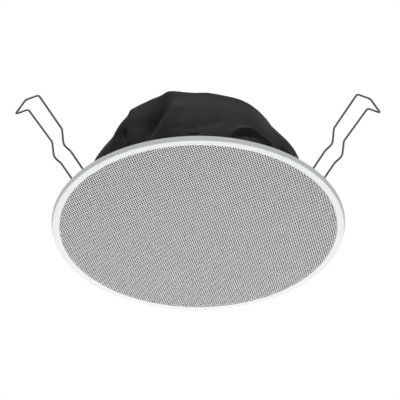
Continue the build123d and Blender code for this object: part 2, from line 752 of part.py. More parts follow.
def dust_bag():
    """Cloth bag over the driver: a thin folded shell, open at its hem, which stands round the collar."""
    faces = []
    hems = []
    for inset in (0.0, BAG_T):
        rings, crown = bag_skin(inset)
        for lower, upper in zip(rings, rings[1:]):
            faces += band_faces(lower, upper)
        for i, corner in enumerate(rings[-1]):
            faces.append(flat_face(corner, rings[-1][(i + 1) % BAG_SIDES], crown))
        hems.append(rings[0])
    faces += band_faces(hems[0], hems[1])
    return Solid(Shell(faces))


def save(solid, name):
    """Write one named piece."""
    solid.label = name
    export_step(solid, f"parts/{name}.step")


PIECES = {
    "panel_frame": panel_frame,
    "grille": grille,
    "grille_scrim": grille_scrim,
    "bracket_rivets": bracket_rivets,
    "driver_basket": driver_basket,
    "driver_screws": driver_screws,
    "surround": surround,
    "cone": cone,
    "whizzer_cone": whizzer_cone,
    "dust_cap": dust_cap,
    "voice_coil": voice_coil,
    "spider": spider,
    "top_plate": top_plate,
    "magnet": magnet,
    "yoke": yoke,
    "tag_strip": tag_strip,
    "lead_tags": lead_tags,
    "rear_strap": rear_strap,
    "strap_screws": strap_screws,
    "transformer_core": transformer_core,
    "transformer_winding": transformer_winding,
    "transformer_clip": transformer_clip,
    "transformer_screws": transformer_screws,
    "terminal_block": terminal_block,
    "terminal_screws": terminal_screws,
    "dust_bag": dust_bag,
}

for piece_name, make in PIECES.items():
    save(make(), piece_name)

for number, clamp_azimuth in enumerate(CLAMP_AZIMUTHS, start=1):
    save(turn(clamp_azimuth) * spring_clamp(), f"spring_clamp_{number}")
    save(turn(clamp_azimuth) * clamp_bracket(), f"clamp_bracket_{number}")
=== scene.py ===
import json
from math import ceil, cos, degrees, pi, radians, sin, sqrt, tan

import bmesh
import bpy
import numpy as np
from mathutils import Matrix, Vector, noise


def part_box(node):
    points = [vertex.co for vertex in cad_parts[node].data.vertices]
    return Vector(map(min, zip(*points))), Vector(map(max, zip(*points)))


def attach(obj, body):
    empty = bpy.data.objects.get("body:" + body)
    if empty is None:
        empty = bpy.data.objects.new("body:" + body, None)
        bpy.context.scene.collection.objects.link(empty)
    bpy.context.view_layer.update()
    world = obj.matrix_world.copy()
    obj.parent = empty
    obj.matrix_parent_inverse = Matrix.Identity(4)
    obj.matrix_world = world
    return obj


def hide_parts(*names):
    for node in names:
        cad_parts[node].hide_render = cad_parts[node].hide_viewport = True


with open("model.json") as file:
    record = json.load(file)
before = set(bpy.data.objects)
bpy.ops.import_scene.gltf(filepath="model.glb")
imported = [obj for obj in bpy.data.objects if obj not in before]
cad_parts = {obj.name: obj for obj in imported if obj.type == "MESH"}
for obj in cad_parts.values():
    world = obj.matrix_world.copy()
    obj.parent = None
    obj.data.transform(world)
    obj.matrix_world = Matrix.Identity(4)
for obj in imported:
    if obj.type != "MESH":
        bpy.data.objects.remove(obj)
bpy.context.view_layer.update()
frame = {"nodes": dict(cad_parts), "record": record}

MM = 0.001
PANEL = "panel"

# Sizes of the panel, grille and bag that the frame gives
FRAME_LOW, FRAME_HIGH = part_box("panel_frame")
GRILLE_LOW, GRILLE_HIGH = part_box("grille")
BAG_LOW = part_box("dust_bag")[0]
PANEL_R = FRAME_HIGH[0]
BEZEL_FRONT_Z = FRAME_LOW[2]
COLLAR_TOP_Z = FRAME_HIGH[2]
GRILLE_R = GRILLE_HIGH[0]
GRILLE_FRONT_Z = GRILLE_LOW[2]
GRILLE_BACK_Z = GRILLE_HIGH[2]

# Panel moulding, from the driver's opening outwards
OPENING_R = 71.0 * MM
COLLAR_INNER_R = 83.5 * MM
COLLAR_R = 86.0 * MM
SPIGOT_INNER_R = 96.0 * MM
SPIGOT_R = 98.0 * MM
SPIGOT_TOP_Z = 2.5 * MM
NOTCH_Z = -0.2 * MM
NOTCH_HALF_ANGLE = 10.1
NOTCH_SEAM = 1e-6
CHANNEL_Z = 0.4 * MM
DRIVER_SEAT_Z = 1.2 * MM
BAFFLE_FRONT_Z = -1.7 * MM
BEZEL_INNER_R = 108.8 * MM
BEZEL_DRAFT = 1.0 * MM
SEAT_INNER_R = 104.8 * MM
MOULDED_EDGE = 0.25 * MM
BEZEL_EDGE = 0.55 * MM
PANEL_STEPS = 360
RIB_INNER_R = 87.8 * MM
RIB_FOOT = 1.6 * MM
RIB_CREST = 1.2 * MM
RIB_ROUNDING = 0.3 * MM
RIBS_PER_BAY = 3

# Perforation of the grille
HOLE_PITCH = 2.0 * MM
ROW_PITCH = HOLE_PITCH * sqrt(3) / 2
SLANT_REACH = 1.6
HOLE_R = 0.78 * MM
HOLE_SIDES = 12
ROW_ANGLE = 16.9
GRILLE_MARGIN = 0.5 * MM
GRILLE_BANDS = 4
CUT_HOLE_REACH = 0.5
EDGE_TOLERANCE = 0.005 * MM
SCRIM_R = 104.4 * MM
SCRIM_EDGE_R = 108.2 * MM
SCRIM_BITE = 0.02 * MM
SCRIM_STEPS = 180

# Spring clamps
CLAMP_AZIMUTHS = (90.0, 210.0, 330.0)
WIRE_R = 0.8 * MM
WIRE_SIDES = 20
LEG_HALF_SPACINGS = (8.2 * MM, 8.5 * MM, 8.6 * MM, 8.9 * MM, 9.7 * MM, 9.5 * MM)
LEG_ANGLE = 49.6
LEG_LENGTH = 31.5 * MM
KINK = (6.3 * MM, 3.6 * MM)
SHANK = (2.3 * MM, 14.3 * MM)
ARM = (21.8 * MM, 24.4 * MM)
HOOK = (10.0 * MM, -9.0 * MM)
BEND_R = 4.0 * MM
KINK_BEND_R = 6.5 * MM
CORNER_R = 2.0 * MM
PIVOT_R = 96.0 * MM
PIVOT_Z = 2.05 * MM
PIN_INNER = 1.0 * MM
RIVET_R = 1.5 * MM
RIVET_HEAD_R = 2.2 * MM
RIVET_HEAD_T = 0.8 * MM
RIVET_AT_R = 92.5 * MM
RIVET_AT_T = 13.3 * MM
RIVET_SIDES = 28
BRACKET_TOP_Z = 1.2 * MM


def node(tree, kind, sockets=None, **settings):
    """Add one node to a tree, with its settings and its socket values or links."""
    made = tree.nodes.new(kind)
    for name, value in settings.items():
        setattr(made, name, value)
    for key, value in (sockets or {}).items():
        if isinstance(value, bpy.types.NodeSocket):
            tree.links.new(value, made.inputs[key])
        else:
            made.inputs[key].default_value = value
    return made


def math(tree, operation, a, b=0.0):
    """One sum in a tree."""
    return node(tree, "ShaderNodeMath", {0: a, 1: b}, operation=operation).outputs["Value"]


# Materials

def principled(name, roughness, metallic=0.0, specular=0.5, sheen=0.0):
    """Material with its shader set, which the finishes below add their own detail to."""
    material = bpy.data.materials.new(name)
    material.use_nodes = True
    tree = material.node_tree
    shader = tree.nodes["Principled BSDF"]
    shader.inputs["Roughness"].default_value = roughness
    shader.inputs["Metallic"].default_value = metallic
    shader.inputs["Specular IOR Level"].default_value = specular
    shader.inputs["Sheen Weight"].default_value = sheen
    return material, tree, shader


def between(tree, factor, dark, light):
    """Colour that runs from dark to light with a factor."""
    ramp = node(tree, "ShaderNodeValToRGB", {"Fac": factor})
    ramp.color_ramp.elements[0].color = (*dark, 1.0)
    ramp.color_ramp.elements[1].color = (*light, 1.0)
    return ramp.outputs["Color"]


def spread(tree, factor, low, high):
    """Number that runs from low to high with a factor."""
    sockets = {"Value": factor, "To Min": low, "To Max": high}
    return node(tree, "ShaderNodeMapRange", sockets).outputs["Result"]


def bumped(tree, shader, height, strength, distance):
    """Relief on the shader's normal."""
    sockets = {"Height": height, "Strength": strength, "Distance": distance}
    bump = node(tree, "ShaderNodeBump", sockets)
    tree.links.new(bump.outputs["Normal"], shader.inputs["Normal"])


def speckle(tree, where, scale, detail=4.0):
    """Soft random value over a surface."""
    sockets = {"Vector": where, "Scale": scale, "Detail": detail, "Roughness": 0.6}
    return node(tree, "ShaderNodeTexNoise", sockets).outputs["Fac"]


def object_place(tree):
    """Place on the piece, in metres."""
    return node(tree, "ShaderNodeTexCoord").outputs["Object"]


def cloth_place(tree):
    """Place on the cut cloth, in metres, from the piece's own map."""
    return node(tree, "ShaderNodeUVMap", uv_map="cloth").outputs["UV"]


def grained(name, dark, light, grain, roughness, relief, metallic=0.0, specular=0.5):
    """Cast, moulded or painted finish: fine grain in its colour, gloss and surface."""
    low, high = roughness
    material, tree, shader = principled(name, low, metallic, specular)
    value = speckle(tree, object_place(tree), 1.0 / grain)
    tree.links.new(between(tree, value, dark, light), shader.inputs["Base Color"])
    tree.links.new(spread(tree, value, low, high), shader.inputs["Roughness"])
    bumped(tree, shader, value, strength=0.3, distance=relief)
    return material


def parallel_lines(tree, where, pitch, direction, distortion, detail):
    """Fine lines at a pitch, one after another in a direction."""
    wave = node(tree, "ShaderNodeTexWave", {
        "Vector": where, "Scale": WAVE_PITCH / pitch, "Distortion": distortion, "Detail": detail,
    }, wave_type="BANDS", bands_direction=direction)
    return wave.outputs["Fac"]


def woven(name, dark, light, thread, roughness, relief, sheen, specular, place):
    """Plain weave: two crossing sets of threads, with uneven dye."""
    material, tree, shader = principled(name, roughness, 0.0, specular, sheen)
    where = place(tree)
    warp, weft = [
        parallel_lines(tree, where, thread, way, distortion=0.4, detail=1.0) for way in ("X", "Y")
    ]
    crossing = math(tree, "MAXIMUM", warp, weft)
    dye = speckle(tree, where, DYE_SCALE, detail=6.0)
    tree.links.new(between(tree, dye, dark, light), shader.inputs["Base Color"])
    bumped(tree, shader, crossing, strength=0.5, distance=relief)
    return material


def banded(name, dark, light, pitch, direction, roughness, metallic, relief):
    """Finish with fine parallel lines, such as laminations, wound tape or turns of wire."""
    material, tree, shader = principled(name, roughness, metallic)
    lines = parallel_lines(tree, object_place(tree), pitch, direction, distortion=0.3, detail=2.0)
    tree.links.new(between(tree, lines, dark, light), shader.inputs["Base Color"])
    bumped(tree, shader, lines, strength=0.4, distance=relief)
    return material


def shaded_hole_walls(material):
    """Paint the punched walls, square to the sheet's face, near black: painted shade in the holes.
    """
    tree = material.node_tree
    shader = tree.nodes["Principled BSDF"]
    paint = shader.inputs["Base Color"].links[0].from_socket
    normal = node(tree, "ShaderNodeTexCoord").outputs["Normal"]
    facing = node(tree, "ShaderNodeSeparateXYZ", {"Vector": normal})
    flat = math(tree, "ABSOLUTE", facing.outputs["Z"])
    mixed = node(tree, "ShaderNodeMix", {"Factor": flat}, data_type="RGBA")
    mixed.inputs["A"].default_value = HOLE_WALL_SHADE
    tree.links.new(paint, mixed.inputs["B"])
    tree.links.new(mixed.outputs["Result"], shader.inputs["Base Color"])


def drawn_wire(name, dark, light, roughness):
    """Spring steel with the long fine marks of the drawing die."""
    material, tree, shader = principled(name, roughness=0.3, metallic=1.0)
    along = node(tree, "ShaderNodeUVMap", uv_map="wire").outputs["UV"]
    stretch = node(tree, "ShaderNodeMapping", {"Vector": along, "Scale": WIRE_MARKS})
    marks = speckle(tree, stretch.outputs["Vector"], 1.0, detail=3.0)
    tree.links.new(between(tree, marks, dark, light), shader.inputs["Base Color"])
    tree.links.new(spread(tree, marks, *roughness), shader.inputs["Roughness"])
    bumped(tree, shader, marks, strength=0.15, distance=0.05 * MM)
    return material


# Pitch of a wave texture's lines at a scale of 1
WAVE_PITCH = 0.05 * 2 * pi
DYE_SCALE = 90.0
# Near-black colour of the punched hole walls: painted shade inside the holes
HOLE_WALL_SHADE = (0.03, 0.03, 0.03, 1.0)
# Marks in a metre along the wire and round it
WIRE_MARKS = (60.0, 5000.0, 1.0)
# As (dark, light, least and most roughness)
SPRING_WIRE = ((0.032, 0.032, 0.029), (0.16, 0.156, 0.145), (0.24, 0.42))
# As (dark, light, size of the grain, least and most roughness, relief, metal if any)
GRAINED = {
    "white_moulding": (
        (0.80, 0.815, 0.81), (0.86, 0.87, 0.865), 0.8 * MM, (0.42, 0.52), 0.02 * MM),
    "white_steel": (
        (0.79, 0.80, 0.795), (0.85, 0.855, 0.85), 0.3 * MM, (0.45, 0.6), 0.01 * MM),
    "zinc_steel": (
        (0.45, 0.46, 0.47), (0.62, 0.63, 0.64), 1.5 * MM, (0.3, 0.45), 0.02 * MM, 1.0),
    "basket_steel": (
        (0.02, 0.02, 0.021), (0.035, 0.035, 0.036), 0.6 * MM, (0.45, 0.6), 0.03 * MM),
    "cone_paper": (
        (0.035, 0.034, 0.032), (0.07, 0.068, 0.064), 1.2 * MM, (0.75, 0.9), 0.1 * MM),
    "cap_felt": (
        (0.03, 0.03, 0.03), (0.06, 0.06, 0.058), 0.5 * MM, (0.85, 0.95), 0.2 * MM),
    "ferrite": (
        (0.025, 0.025, 0.027), (0.05, 0.05, 0.053), 0.4 * MM, (0.5, 0.7), 0.04 * MM),
    "phenolic": (
        (0.16, 0.07, 0.025), (0.26, 0.12, 0.045), 1.0 * MM, (0.4, 0.55), 0.03 * MM),
    "tag_brass": (
        (0.62, 0.45, 0.16), (0.78, 0.60, 0.27), 0.8 * MM, (0.25, 0.4), 0.02 * MM, 1.0),
    "block_plastic": (
        (0.55, 0.54, 0.50), (0.64, 0.63, 0.59), 0.8 * MM, (0.4, 0.5), 0.02 * MM),
}
# As (dark, light, pitch of the threads, roughness, relief, sheen, specular, where it is mapped)
WOVEN = {
    "scrim_cloth": (
        (0.006, 0.006, 0.006), (0.014, 0.014, 0.014),
        0.4 * MM, 0.9, 0.1 * MM, 0.0, 0.05, object_place),
    "bag_cloth": (
        (0.0195, 0.0202, 0.0218), (0.0255, 0.0262, 0.0276),
        0.5 * MM, 0.6, 0.04 * MM, 0.0, 0.02, cloth_place),
    "surround_cloth": (
        (0.02, 0.02, 0.02), (0.035, 0.035, 0.034),
        0.6 * MM, 0.8, 0.1 * MM, 0.05, 0.2, object_place),
    "spider_cloth": (
        (0.42, 0.28, 0.10), (0.58, 0.41, 0.18), 0.7 * MM, 0.8, 0.1 * MM, 0.05, 0.3, object_place),
}
# As (dark, light, pitch of the lines, direction, roughness, metal, relief)
BANDED = {
    "coil_copper": ((0.45, 0.20, 0.09), (0.72, 0.36, 0.18), 0.3 * MM, "Z", 0.35, 1.0, 0.1 * MM),
    "core_steel": ((0.10, 0.10, 0.105), (0.30, 0.30, 0.31), 0.5 * MM, "Y", 0.45, 0.8, 0.1 * MM),
    "winding_tape": ((0.55, 0.40, 0.05), (0.70, 0.54, 0.10), 6.0 * MM, "Z", 0.35, 0.0, 0.1 * MM),
}


def finishes():
    """All the object's materials, by the record's slots."""
    made = {"spring_wire": drawn_wire("spring_wire", *SPRING_WIRE)}
    for make, looks in ((grained, GRAINED), (woven, WOVEN), (banded, BANDED)):
        for slot, look in looks.items():
            made[slot] = make(slot, *look)
    # The white sheet's hole walls get painted shade
    shaded_hole_walls(made["white_steel"])
    return made


FINISH = finishes()


# Meshes

WELD = 0.002 * MM
SLIVER = 0.0005 * MM


def smoothed(mesh, crease_angle):
    """Shade a mesh smooth, with sharp edges above an angle."""
    mesh.shade_smooth()
    mesh.set_sharp_from_angle(angle=radians(crease_angle))


def mesh_object(name, bm, slot, crease_angle=30.0):
    """Put a built mesh into the scene with outward faces, smooth up to an angle, and its finish."""
    bmesh.ops.remove_doubles(bm, verts=bm.verts, dist=WELD)
    bmesh.ops.recalc_face_normals(bm, faces=bm.faces)
    mesh = bpy.data.meshes.new(name)
    bm.to_mesh(mesh)
    bm.free()
    smoothed(mesh, crease_angle)
    return placed(name, mesh, slot)


def placed(name, mesh, slot):
    """Object at the origin for a finished mesh, with its finish."""
    mesh.materials.clear()
    mesh.materials.append(FINISH[slot])
    piece = bpy.data.objects.new(name, mesh)
    bpy.context.scene.collection.objects.link(piece)
    return piece


def settle(piece, body, slot, *nodes):
    """Hang a piece on its body's empty and hide the CAD nodes that it replaces."""
    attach(piece, body)
    if nodes:
        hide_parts(*nodes)


def rounded_outline(corners, steps=4):
    """Closed outline whose corners, given as (radius, height, rounding), become small arcs."""
    outline = []
    count = len(corners)
    for i, (r, z, rounding) in enumerate(corners):
        here = Vector((r, z))
        before = Vector(corners[i - 1][:2])
        after = Vector(corners[(i + 1) % count][:2])
        to_before = (before - here).normalized()
        to_after = (after - here).normalized()
        if rounding == 0:
            outline += [here] * (steps + 1)
            continue
        start = here + to_before * rounding
        end = here + to_after * rounding
        for k in range(steps + 1):
            t = k / steps
            outline.append(start * (1 - t) ** 2 + here * 2 * t * (1 - t) + end * t * t)
    return outline


def azimuth_gap(azimuth, centre):
    """Signed angle from a centre to an azimuth, in degrees."""
    return (azimuth - centre + 180.0) % 360.0 - 180.0


def skinned(bm, rings, closed):
    """Faces between sections set round the axis, each one a closed or an open outline."""
    points = len(rings[0])
    for i, ring in enumerate(rings):
        other = rings[(i + 1) % len(rings)]
        for j in range(points if closed else points - 1):
            k = (j + 1) % points
            bm.faces.new((ring[j], other[j], other[k], ring[k]))


def panel_outline(wall_top):
    """Section of the panel moulding, with the spigot's wall up to a height."""
    edge = MOULDED_EDGE
    wall_edge = edge if wall_top > CHANNEL_Z else 0.0
    return rounded_outline([
        (PANEL_R, 0.0, edge),
        (PANEL_R - BEZEL_DRAFT, BEZEL_FRONT_Z, BEZEL_EDGE),
        (BEZEL_INNER_R, BEZEL_FRONT_Z, edge),
        (BEZEL_INNER_R, GRILLE_BACK_Z, 0.0),
        (SEAT_INNER_R, GRILLE_BACK_Z, 0.0),
        (SEAT_INNER_R, BAFFLE_FRONT_Z, 0.0),
        (OPENING_R, BAFFLE_FRONT_Z, edge),
        (OPENING_R, DRIVER_SEAT_Z, edge),
        (COLLAR_INNER_R, DRIVER_SEAT_Z, 0.0),
        (COLLAR_INNER_R, COLLAR_TOP_Z, edge),
        (COLLAR_R, COLLAR_TOP_Z, edge),
        (COLLAR_R, CHANNEL_Z, edge),
        (SPIGOT_INNER_R, CHANNEL_Z, 0.0),
        (SPIGOT_INNER_R, wall_top, wall_edge),
        (SPIGOT_R, wall_top, wall_edge),
        (SPIGOT_R, 0.0, 0.0),
    ])


def panel_moulding():
    """White moulding, turned about the axis, with the spigot's wall left out at the clamps."""
    plain = panel_outline(SPIGOT_TOP_Z)
    notched = panel_outline(NOTCH_Z)
    stations = [(360.0 * i / PANEL_STEPS, None) for i in range(PANEL_STEPS)]
    for centre in CLAMP_AZIMUTHS:
        for side in (1, -1):
            end = centre + side * NOTCH_HALF_ANGLE
            first, second = (notched, plain) if side > 0 else (plain, notched)
            stations += [(end - NOTCH_SEAM, first), (end + NOTCH_SEAM, second)]
    columns = []
    for azimuth, outline in sorted(stations, key=lambda station: station[0]):
        if outline is None:
            near = min(abs(azimuth_gap(azimuth, centre)) for centre in CLAMP_AZIMUTHS)
            outline = notched if near < NOTCH_HALF_ANGLE else plain
        columns.append((radians(azimuth), outline))
    bm = bmesh.new()
    rings = []
    for angle, outline in columns:
        rings.append([bm.verts.new((p.x * cos(angle), p.x * sin(angle), p.y)) for p in outline])
    skinned(bm, rings, closed=True)
    bmesh.ops.dissolve_degenerate(bm, edges=bm.edges, dist=SLIVER)
    piece = mesh_object("panel_moulding", bm, "white_moulding", crease_angle=35.0)
    settle(piece, PANEL, "white_moulding", "panel_frame")


# Geometry Nodes

NODE_WELD = 0.01 * MM


def geometry_tree(name, sizes):
    """Empty tree with named number inputs, and its two ends."""
    tree = bpy.data.node_groups.new(name, "GeometryNodeTree")
    tree.interface.new_socket("Geometry", in_out="INPUT", socket_type="NodeSocketGeometry")
    for label in sizes:
        tree.interface.new_socket(label, in_out="INPUT", socket_type="NodeSocketFloat")
    tree.interface.new_socket("Geometry", in_out="OUTPUT", socket_type="NodeSocketGeometry")
    return tree, node(tree, "NodeGroupInput"), node(tree, "NodeGroupOutput")


def tree_mesh(name, tree, sizes, points=()):
    """Run a tree on an object that holds some points, and return the result as a plain mesh."""
    start = bpy.data.meshes.new(name + "_points")
    start.from_pydata(points, [], [])
    carrier = bpy.data.objects.new(name + "_points", start)
    bpy.context.scene.collection.objects.link(carrier)
    modifier = carrier.modifiers.new(name, "NODES")
    modifier.node_group = tree
    for socket in tree.interface.items_tree:
        if socket.in_out == "INPUT" and socket.name in sizes:
            modifier[socket.identifier] = sizes[socket.name]
    depsgraph = bpy.context.evaluated_depsgraph_get()
    mesh = bpy.data.meshes.new_from_object(carrier.evaluated_get(depsgraph))
    mesh.name = name
    carrier.modifiers.remove(modifier)
    bpy.data.objects.remove(carrier)
    return mesh


def vector(tree, x, y, z):
    """Vector from three numbers or sockets."""
    return node(tree, "ShaderNodeCombineXYZ", {"X": x, "Y": y, "Z": z}).outputs["Vector"]


def joined(tree, *parts):
    """Several geometries as one."""
    join = node(tree, "GeometryNodeJoinGeometry")
    for part in parts:
        tree.links.new(part, join.inputs["Geometry"])
    return join.outputs["Geometry"]


def shown(tree, end, geometry, slot):
    """Realize what the tree made, give it its finish and pass it to the tree's end."""
    real = node(tree, "GeometryNodeRealizeInstances", {"Geometry": geometry})
    painted = node(tree, "GeometryNodeSetMaterial", {
        "Geometry": real.outputs["Geometry"], "Material": FINISH[slot],
    })
    tree.links.new(painted.outputs["Geometry"], end.inputs["Geometry"])


def reach_from_axis(tree):
    """Distance of each place from the middle of the sheet."""
    place = node(tree, "GeometryNodeInputPosition").outputs["Position"]
    return node(tree, "ShaderNodeVectorMath", {0: place}, operation="LENGTH").outputs["Value"]


def lattice_points(tree, sizes, inner, outer):
    """Points of a hexagonal lattice between two radii, turned to the rows' direction."""
    pitch = sizes.outputs["Pitch"]
    row_pitch = math(tree, "MULTIPLY", pitch, sqrt(3) / 2)
    rows = 2 * ceil(GRILLE_R / ROW_PITCH) + 1
    columns = 2 * ceil(SLANT_REACH * GRILLE_R / HOLE_PITCH) + 1
    grid = node(tree, "GeometryNodeMeshGrid", {
        "Size X": math(tree, "MULTIPLY", pitch, columns - 1.0),
        "Size Y": math(tree, "MULTIPLY", row_pitch, rows - 1.0),
        "Vertices X": columns,
        "Vertices Y": rows,
    })
    place = node(tree, "GeometryNodeInputPosition").outputs["Position"]
    parts = node(tree, "ShaderNodeSeparateXYZ", {"Vector": place}).outputs
    row = math(tree, "ROUND", math(tree, "DIVIDE", parts["Y"], row_pitch))
    marked = node(
        tree, "GeometryNodeStoreNamedAttribute",
        {"Geometry": grid.outputs["Mesh"], "Name": "row", "Value": row},
        data_type="FLOAT", domain="POINT",
    )
    slant = math(tree, "MULTIPLY", parts["Y"], tan(radians(30.0)))
    slanted = math(tree, "ADD", parts["X"], slant)
    turned = node(tree, "ShaderNodeVectorRotate", {
        "Vector": vector(tree, slanted, parts["Y"], 0.0), "Angle": sizes.outputs["Row angle"],
    }, rotation_type="Z_AXIS")
    moved = node(tree, "GeometryNodeSetPosition", {
        "Geometry": marked.outputs["Geometry"], "Position": turned.outputs["Vector"],
    })
    reach = reach_from_axis(tree)
    outside = math(tree, "GREATER_THAN", reach, outer)
    inside = math(tree, "LESS_THAN", reach, inner)
    return node(tree, "GeometryNodeDeleteGeometry", {
        "Geometry": moved.outputs["Geometry"], "Selection": math(tree, "MAXIMUM", outside, inside),
    }, domain="POINT").outputs["Geometry"]


def copied(tree, points, shape, angle):
    """One shape on each point, turned in the sheet's plane, as real geometry."""
    copies = node(tree, "GeometryNodeInstanceOnPoints", {
        "Points": points, "Instance": shape, "Rotation": vector(tree, 0.0, 0.0, angle),
    })
    sockets = {"Geometry": copies.outputs["Instances"]}
    return node(tree, "GeometryNodeRealizeInstances", sockets).outputs["Geometry"]


def on_lattice(tree, points, cell, angle):
    """One cell on each lattice point, turned with the rows, as one welded flat mesh."""
    row = node(tree, "GeometryNodeInputNamedAttribute", {"Name": "row"}, data_type="FLOAT")
    marked = node(tree, "GeometryNodeStoreNamedAttribute", {
        "Geometry": copied(tree, points, cell, angle),
        "Name": "band_row", "Value": row.outputs["Attribute"],
    }, data_type="FLOAT", domain="FACE")
    return welded(tree, marked.outputs["Geometry"])


def welded(tree, geometry):
    """Merge points that meet."""
    sockets = {"Geometry": geometry, "Distance": NODE_WELD}
    return node(tree, "GeometryNodeMergeByDistance", sockets).outputs["Geometry"]


def filled(tree, *curves):
    """Flat triangles between closed curves."""
    return node(
        tree, "GeometryNodeFillCurve", {"Curve": joined(tree, *curves)}, mode="TRIANGLES"
    ).outputs["Mesh"]


def ring_curve(tree, radius, corners, turn=0.0):
    """Closed round or polygonal curve about the axis."""
    ring = node(tree, "GeometryNodeCurvePrimitiveCircle", {"Resolution": corners, "Radius": radius})
    turned = node(tree, "GeometryNodeTransform", {
        "Geometry": ring.outputs["Curve"], "Rotation": (0.0, 0.0, radians(turn)),
    })
    return turned.outputs["Geometry"]


def cut_holes(tree, sizes, hole):
    """Outlines of the holes that the sheet's edge comes close to or cuts through."""
    reach = math(tree, "MULTIPLY", sizes.outputs["Hole radius"], CUT_HOLE_REACH)
    edge = math(tree, "ADD", sizes.outputs["Sheet radius"], reach)
    points = lattice_points(tree, sizes, sizes.outputs["Field radius"], edge)
    return copied(tree, points, hole, sizes.outputs["Row angle"])


def inside_edge(tree, sizes, mesh):
    """The part of a flat mesh that lies within the sheet's edge."""
    edge = math(tree, "SUBTRACT", sizes.outputs["Sheet radius"], EDGE_TOLERANCE)
    outside = math(tree, "GREATER_THAN", reach_from_axis(tree), edge)
    return node(
        tree, "GeometryNodeDeleteGeometry", {"Geometry": mesh, "Selection": outside}, domain="FACE"
    ).outputs["Geometry"]


def thickened(tree, face, thickness):
    """Closed body from a flat mesh, raised along +Z."""
    raised = node(tree, "GeometryNodeExtrudeMesh", {
        "Mesh": face, "Offset": vector(tree, 0.0, 0.0, 1.0),
        "Offset Scale": thickness, "Individual": False,
    }, mode="FACES")
    back = node(tree, "GeometryNodeFlipFaces", {"Mesh": face}).outputs["Mesh"]
    return welded(tree, joined(tree, back, raised.outputs["Mesh"]))


def perforated_sheet_tree():
    """Flat round sheet with round holes: lattice cells, a margin of cut holes and a thickness."""
    labels = (
        "Pitch", "Hole radius", "Row angle", "Field radius", "Sheet radius", "Front", "Thickness",
    )
    tree, sizes, end = geometry_tree("perforated_sheet", labels)
    corner_r = math(tree, "DIVIDE", sizes.outputs["Pitch"], sqrt(3))
    hexagon = ring_curve(tree, corner_r, 6, 30.0)
    hole = ring_curve(tree, sizes.outputs["Hole radius"], HOLE_SIDES, 15.0)
    points = lattice_points(tree, sizes, -1.0, sizes.outputs["Field radius"])
    angle = sizes.outputs["Row angle"]
    cells = on_lattice(tree, points, filled(tree, hexagon, hole), angle)
    field = on_lattice(tree, points, filled(tree, hexagon), angle)
    neighbours = node(tree, "GeometryNodeInputMeshEdgeNeighbors").outputs["Face Count"]
    border = node(tree, "GeometryNodeMeshToCurve", {
        "Mesh": field, "Selection": math(tree, "LESS_THAN", neighbours, 1.5),
    })
    rim = ring_curve(tree, sizes.outputs["Sheet radius"], PANEL_STEPS)
    margin = filled(tree, border.outputs["Curve"], rim, cut_holes(tree, sizes, hole))
    sheet = welded(tree, joined(tree, cells, inside_edge(tree, sizes, margin)))
    front = node(tree, "GeometryNodeTransform", {
        "Geometry": sheet, "Translation": vector(tree, 0.0, 0.0, sizes.outputs["Front"]),
    }).outputs["Geometry"]
    shown(tree, end, thickened(tree, front, sizes.outputs["Thickness"]), "white_steel")
    return tree


def split_by_row(mesh, bands):
    """Cut a lattice mesh along its rows into bands with about the same number of faces."""
    rows = np.zeros(len(mesh.polygons), np.float32)
    mesh.attributes["band_row"].data.foreach_get("value", rows)
    centres = np.zeros(len(mesh.polygons) * 3, np.float32)
    mesh.polygons.foreach_get("center", centres)
    centres = centres.reshape(-1, 3)
    angle = radians(ROW_ANGLE)
    across = centres[:, 1] * cos(angle) - centres[:, 0] * sin(angle)
    in_margin = np.hypot(centres[:, 0], centres[:, 1]) > GRILLE_R - 2 * HOLE_PITCH
    rows = np.where(in_margin & (rows == 0), np.round(across / ROW_PITCH), rows)
    cuts = np.quantile(rows, [i / bands for i in range(1, bands)])
    return np.searchsorted(np.floor(cuts) + 0.5, rows)


def sub_mesh(mesh, keep, name):
    """New mesh with the chosen faces of another."""
    corners = np.zeros(len(mesh.vertices) * 3, np.float32)
    mesh.vertices.foreach_get("co", corners)
    corners = corners.reshape(-1, 3)
    faces = [tuple(mesh.polygons[i].vertices) for i in np.flatnonzero(keep)]
    used = sorted({v for face in faces for v in face})
    place = {v: i for i, v in enumerate(used)}
    part = bpy.data.meshes.new(name)
    part.from_pydata(corners[used].tolist(), [], [[place[v] for v in face] for face in faces])
    part.update()
    return part


def grille():
    """White perforated steel sheet in the bezel's recess."""
    sheet = tree_mesh("perforated_sheet", perforated_sheet_tree(), {
        "Pitch": HOLE_PITCH,
        "Hole radius": HOLE_R,
        "Row angle": radians(ROW_ANGLE),
        "Field radius": GRILLE_R - GRILLE_MARGIN - HOLE_R,
        "Sheet radius": GRILLE_R,
        "Front": GRILLE_FRONT_Z,
        "Thickness": GRILLE_BACK_Z - GRILLE_FRONT_Z,
    })
    bands = split_by_row(sheet, GRILLE_BANDS)
    for i in range(GRILLE_BANDS):
        name = f"grille_band_{i + 1}"
        piece = placed(name, sub_mesh(sheet, bands == i, name), "white_steel")
        settle(piece, PANEL, "white_steel", "grille")
    bpy.data.meshes.remove(sheet)


def scrim():
    """Black cloth on the grille's back, held at its edge between the sheet and its seat."""
    front = GRILLE_BACK_Z - SCRIM_BITE
    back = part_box("grille_scrim")[1][2]
    outline = [
        (0.0, front), (SCRIM_R, front), (SCRIM_EDGE_R, front), (SCRIM_EDGE_R, GRILLE_BACK_Z),
        (SCRIM_R, GRILLE_BACK_Z), (SCRIM_R, back), (0.0, back),
    ]
    bm = bmesh.new()
    rings = []
    for i in range(SCRIM_STEPS):
        angle = 2 * pi * i / SCRIM_STEPS
        rings.append([bm.verts.new((r * cos(angle), r * sin(angle), z)) for r, z in outline])
    skinned(bm, rings, closed=False)
    bmesh.ops.remove_doubles(bm, verts=bm.verts, dist=WELD)
    bmesh.ops.dissolve_degenerate(bm, edges=bm.edges, dist=SLIVER)
    settle(mesh_object("scrim", bm, "scrim_cloth"), PANEL, "scrim_cloth", "grille_scrim")


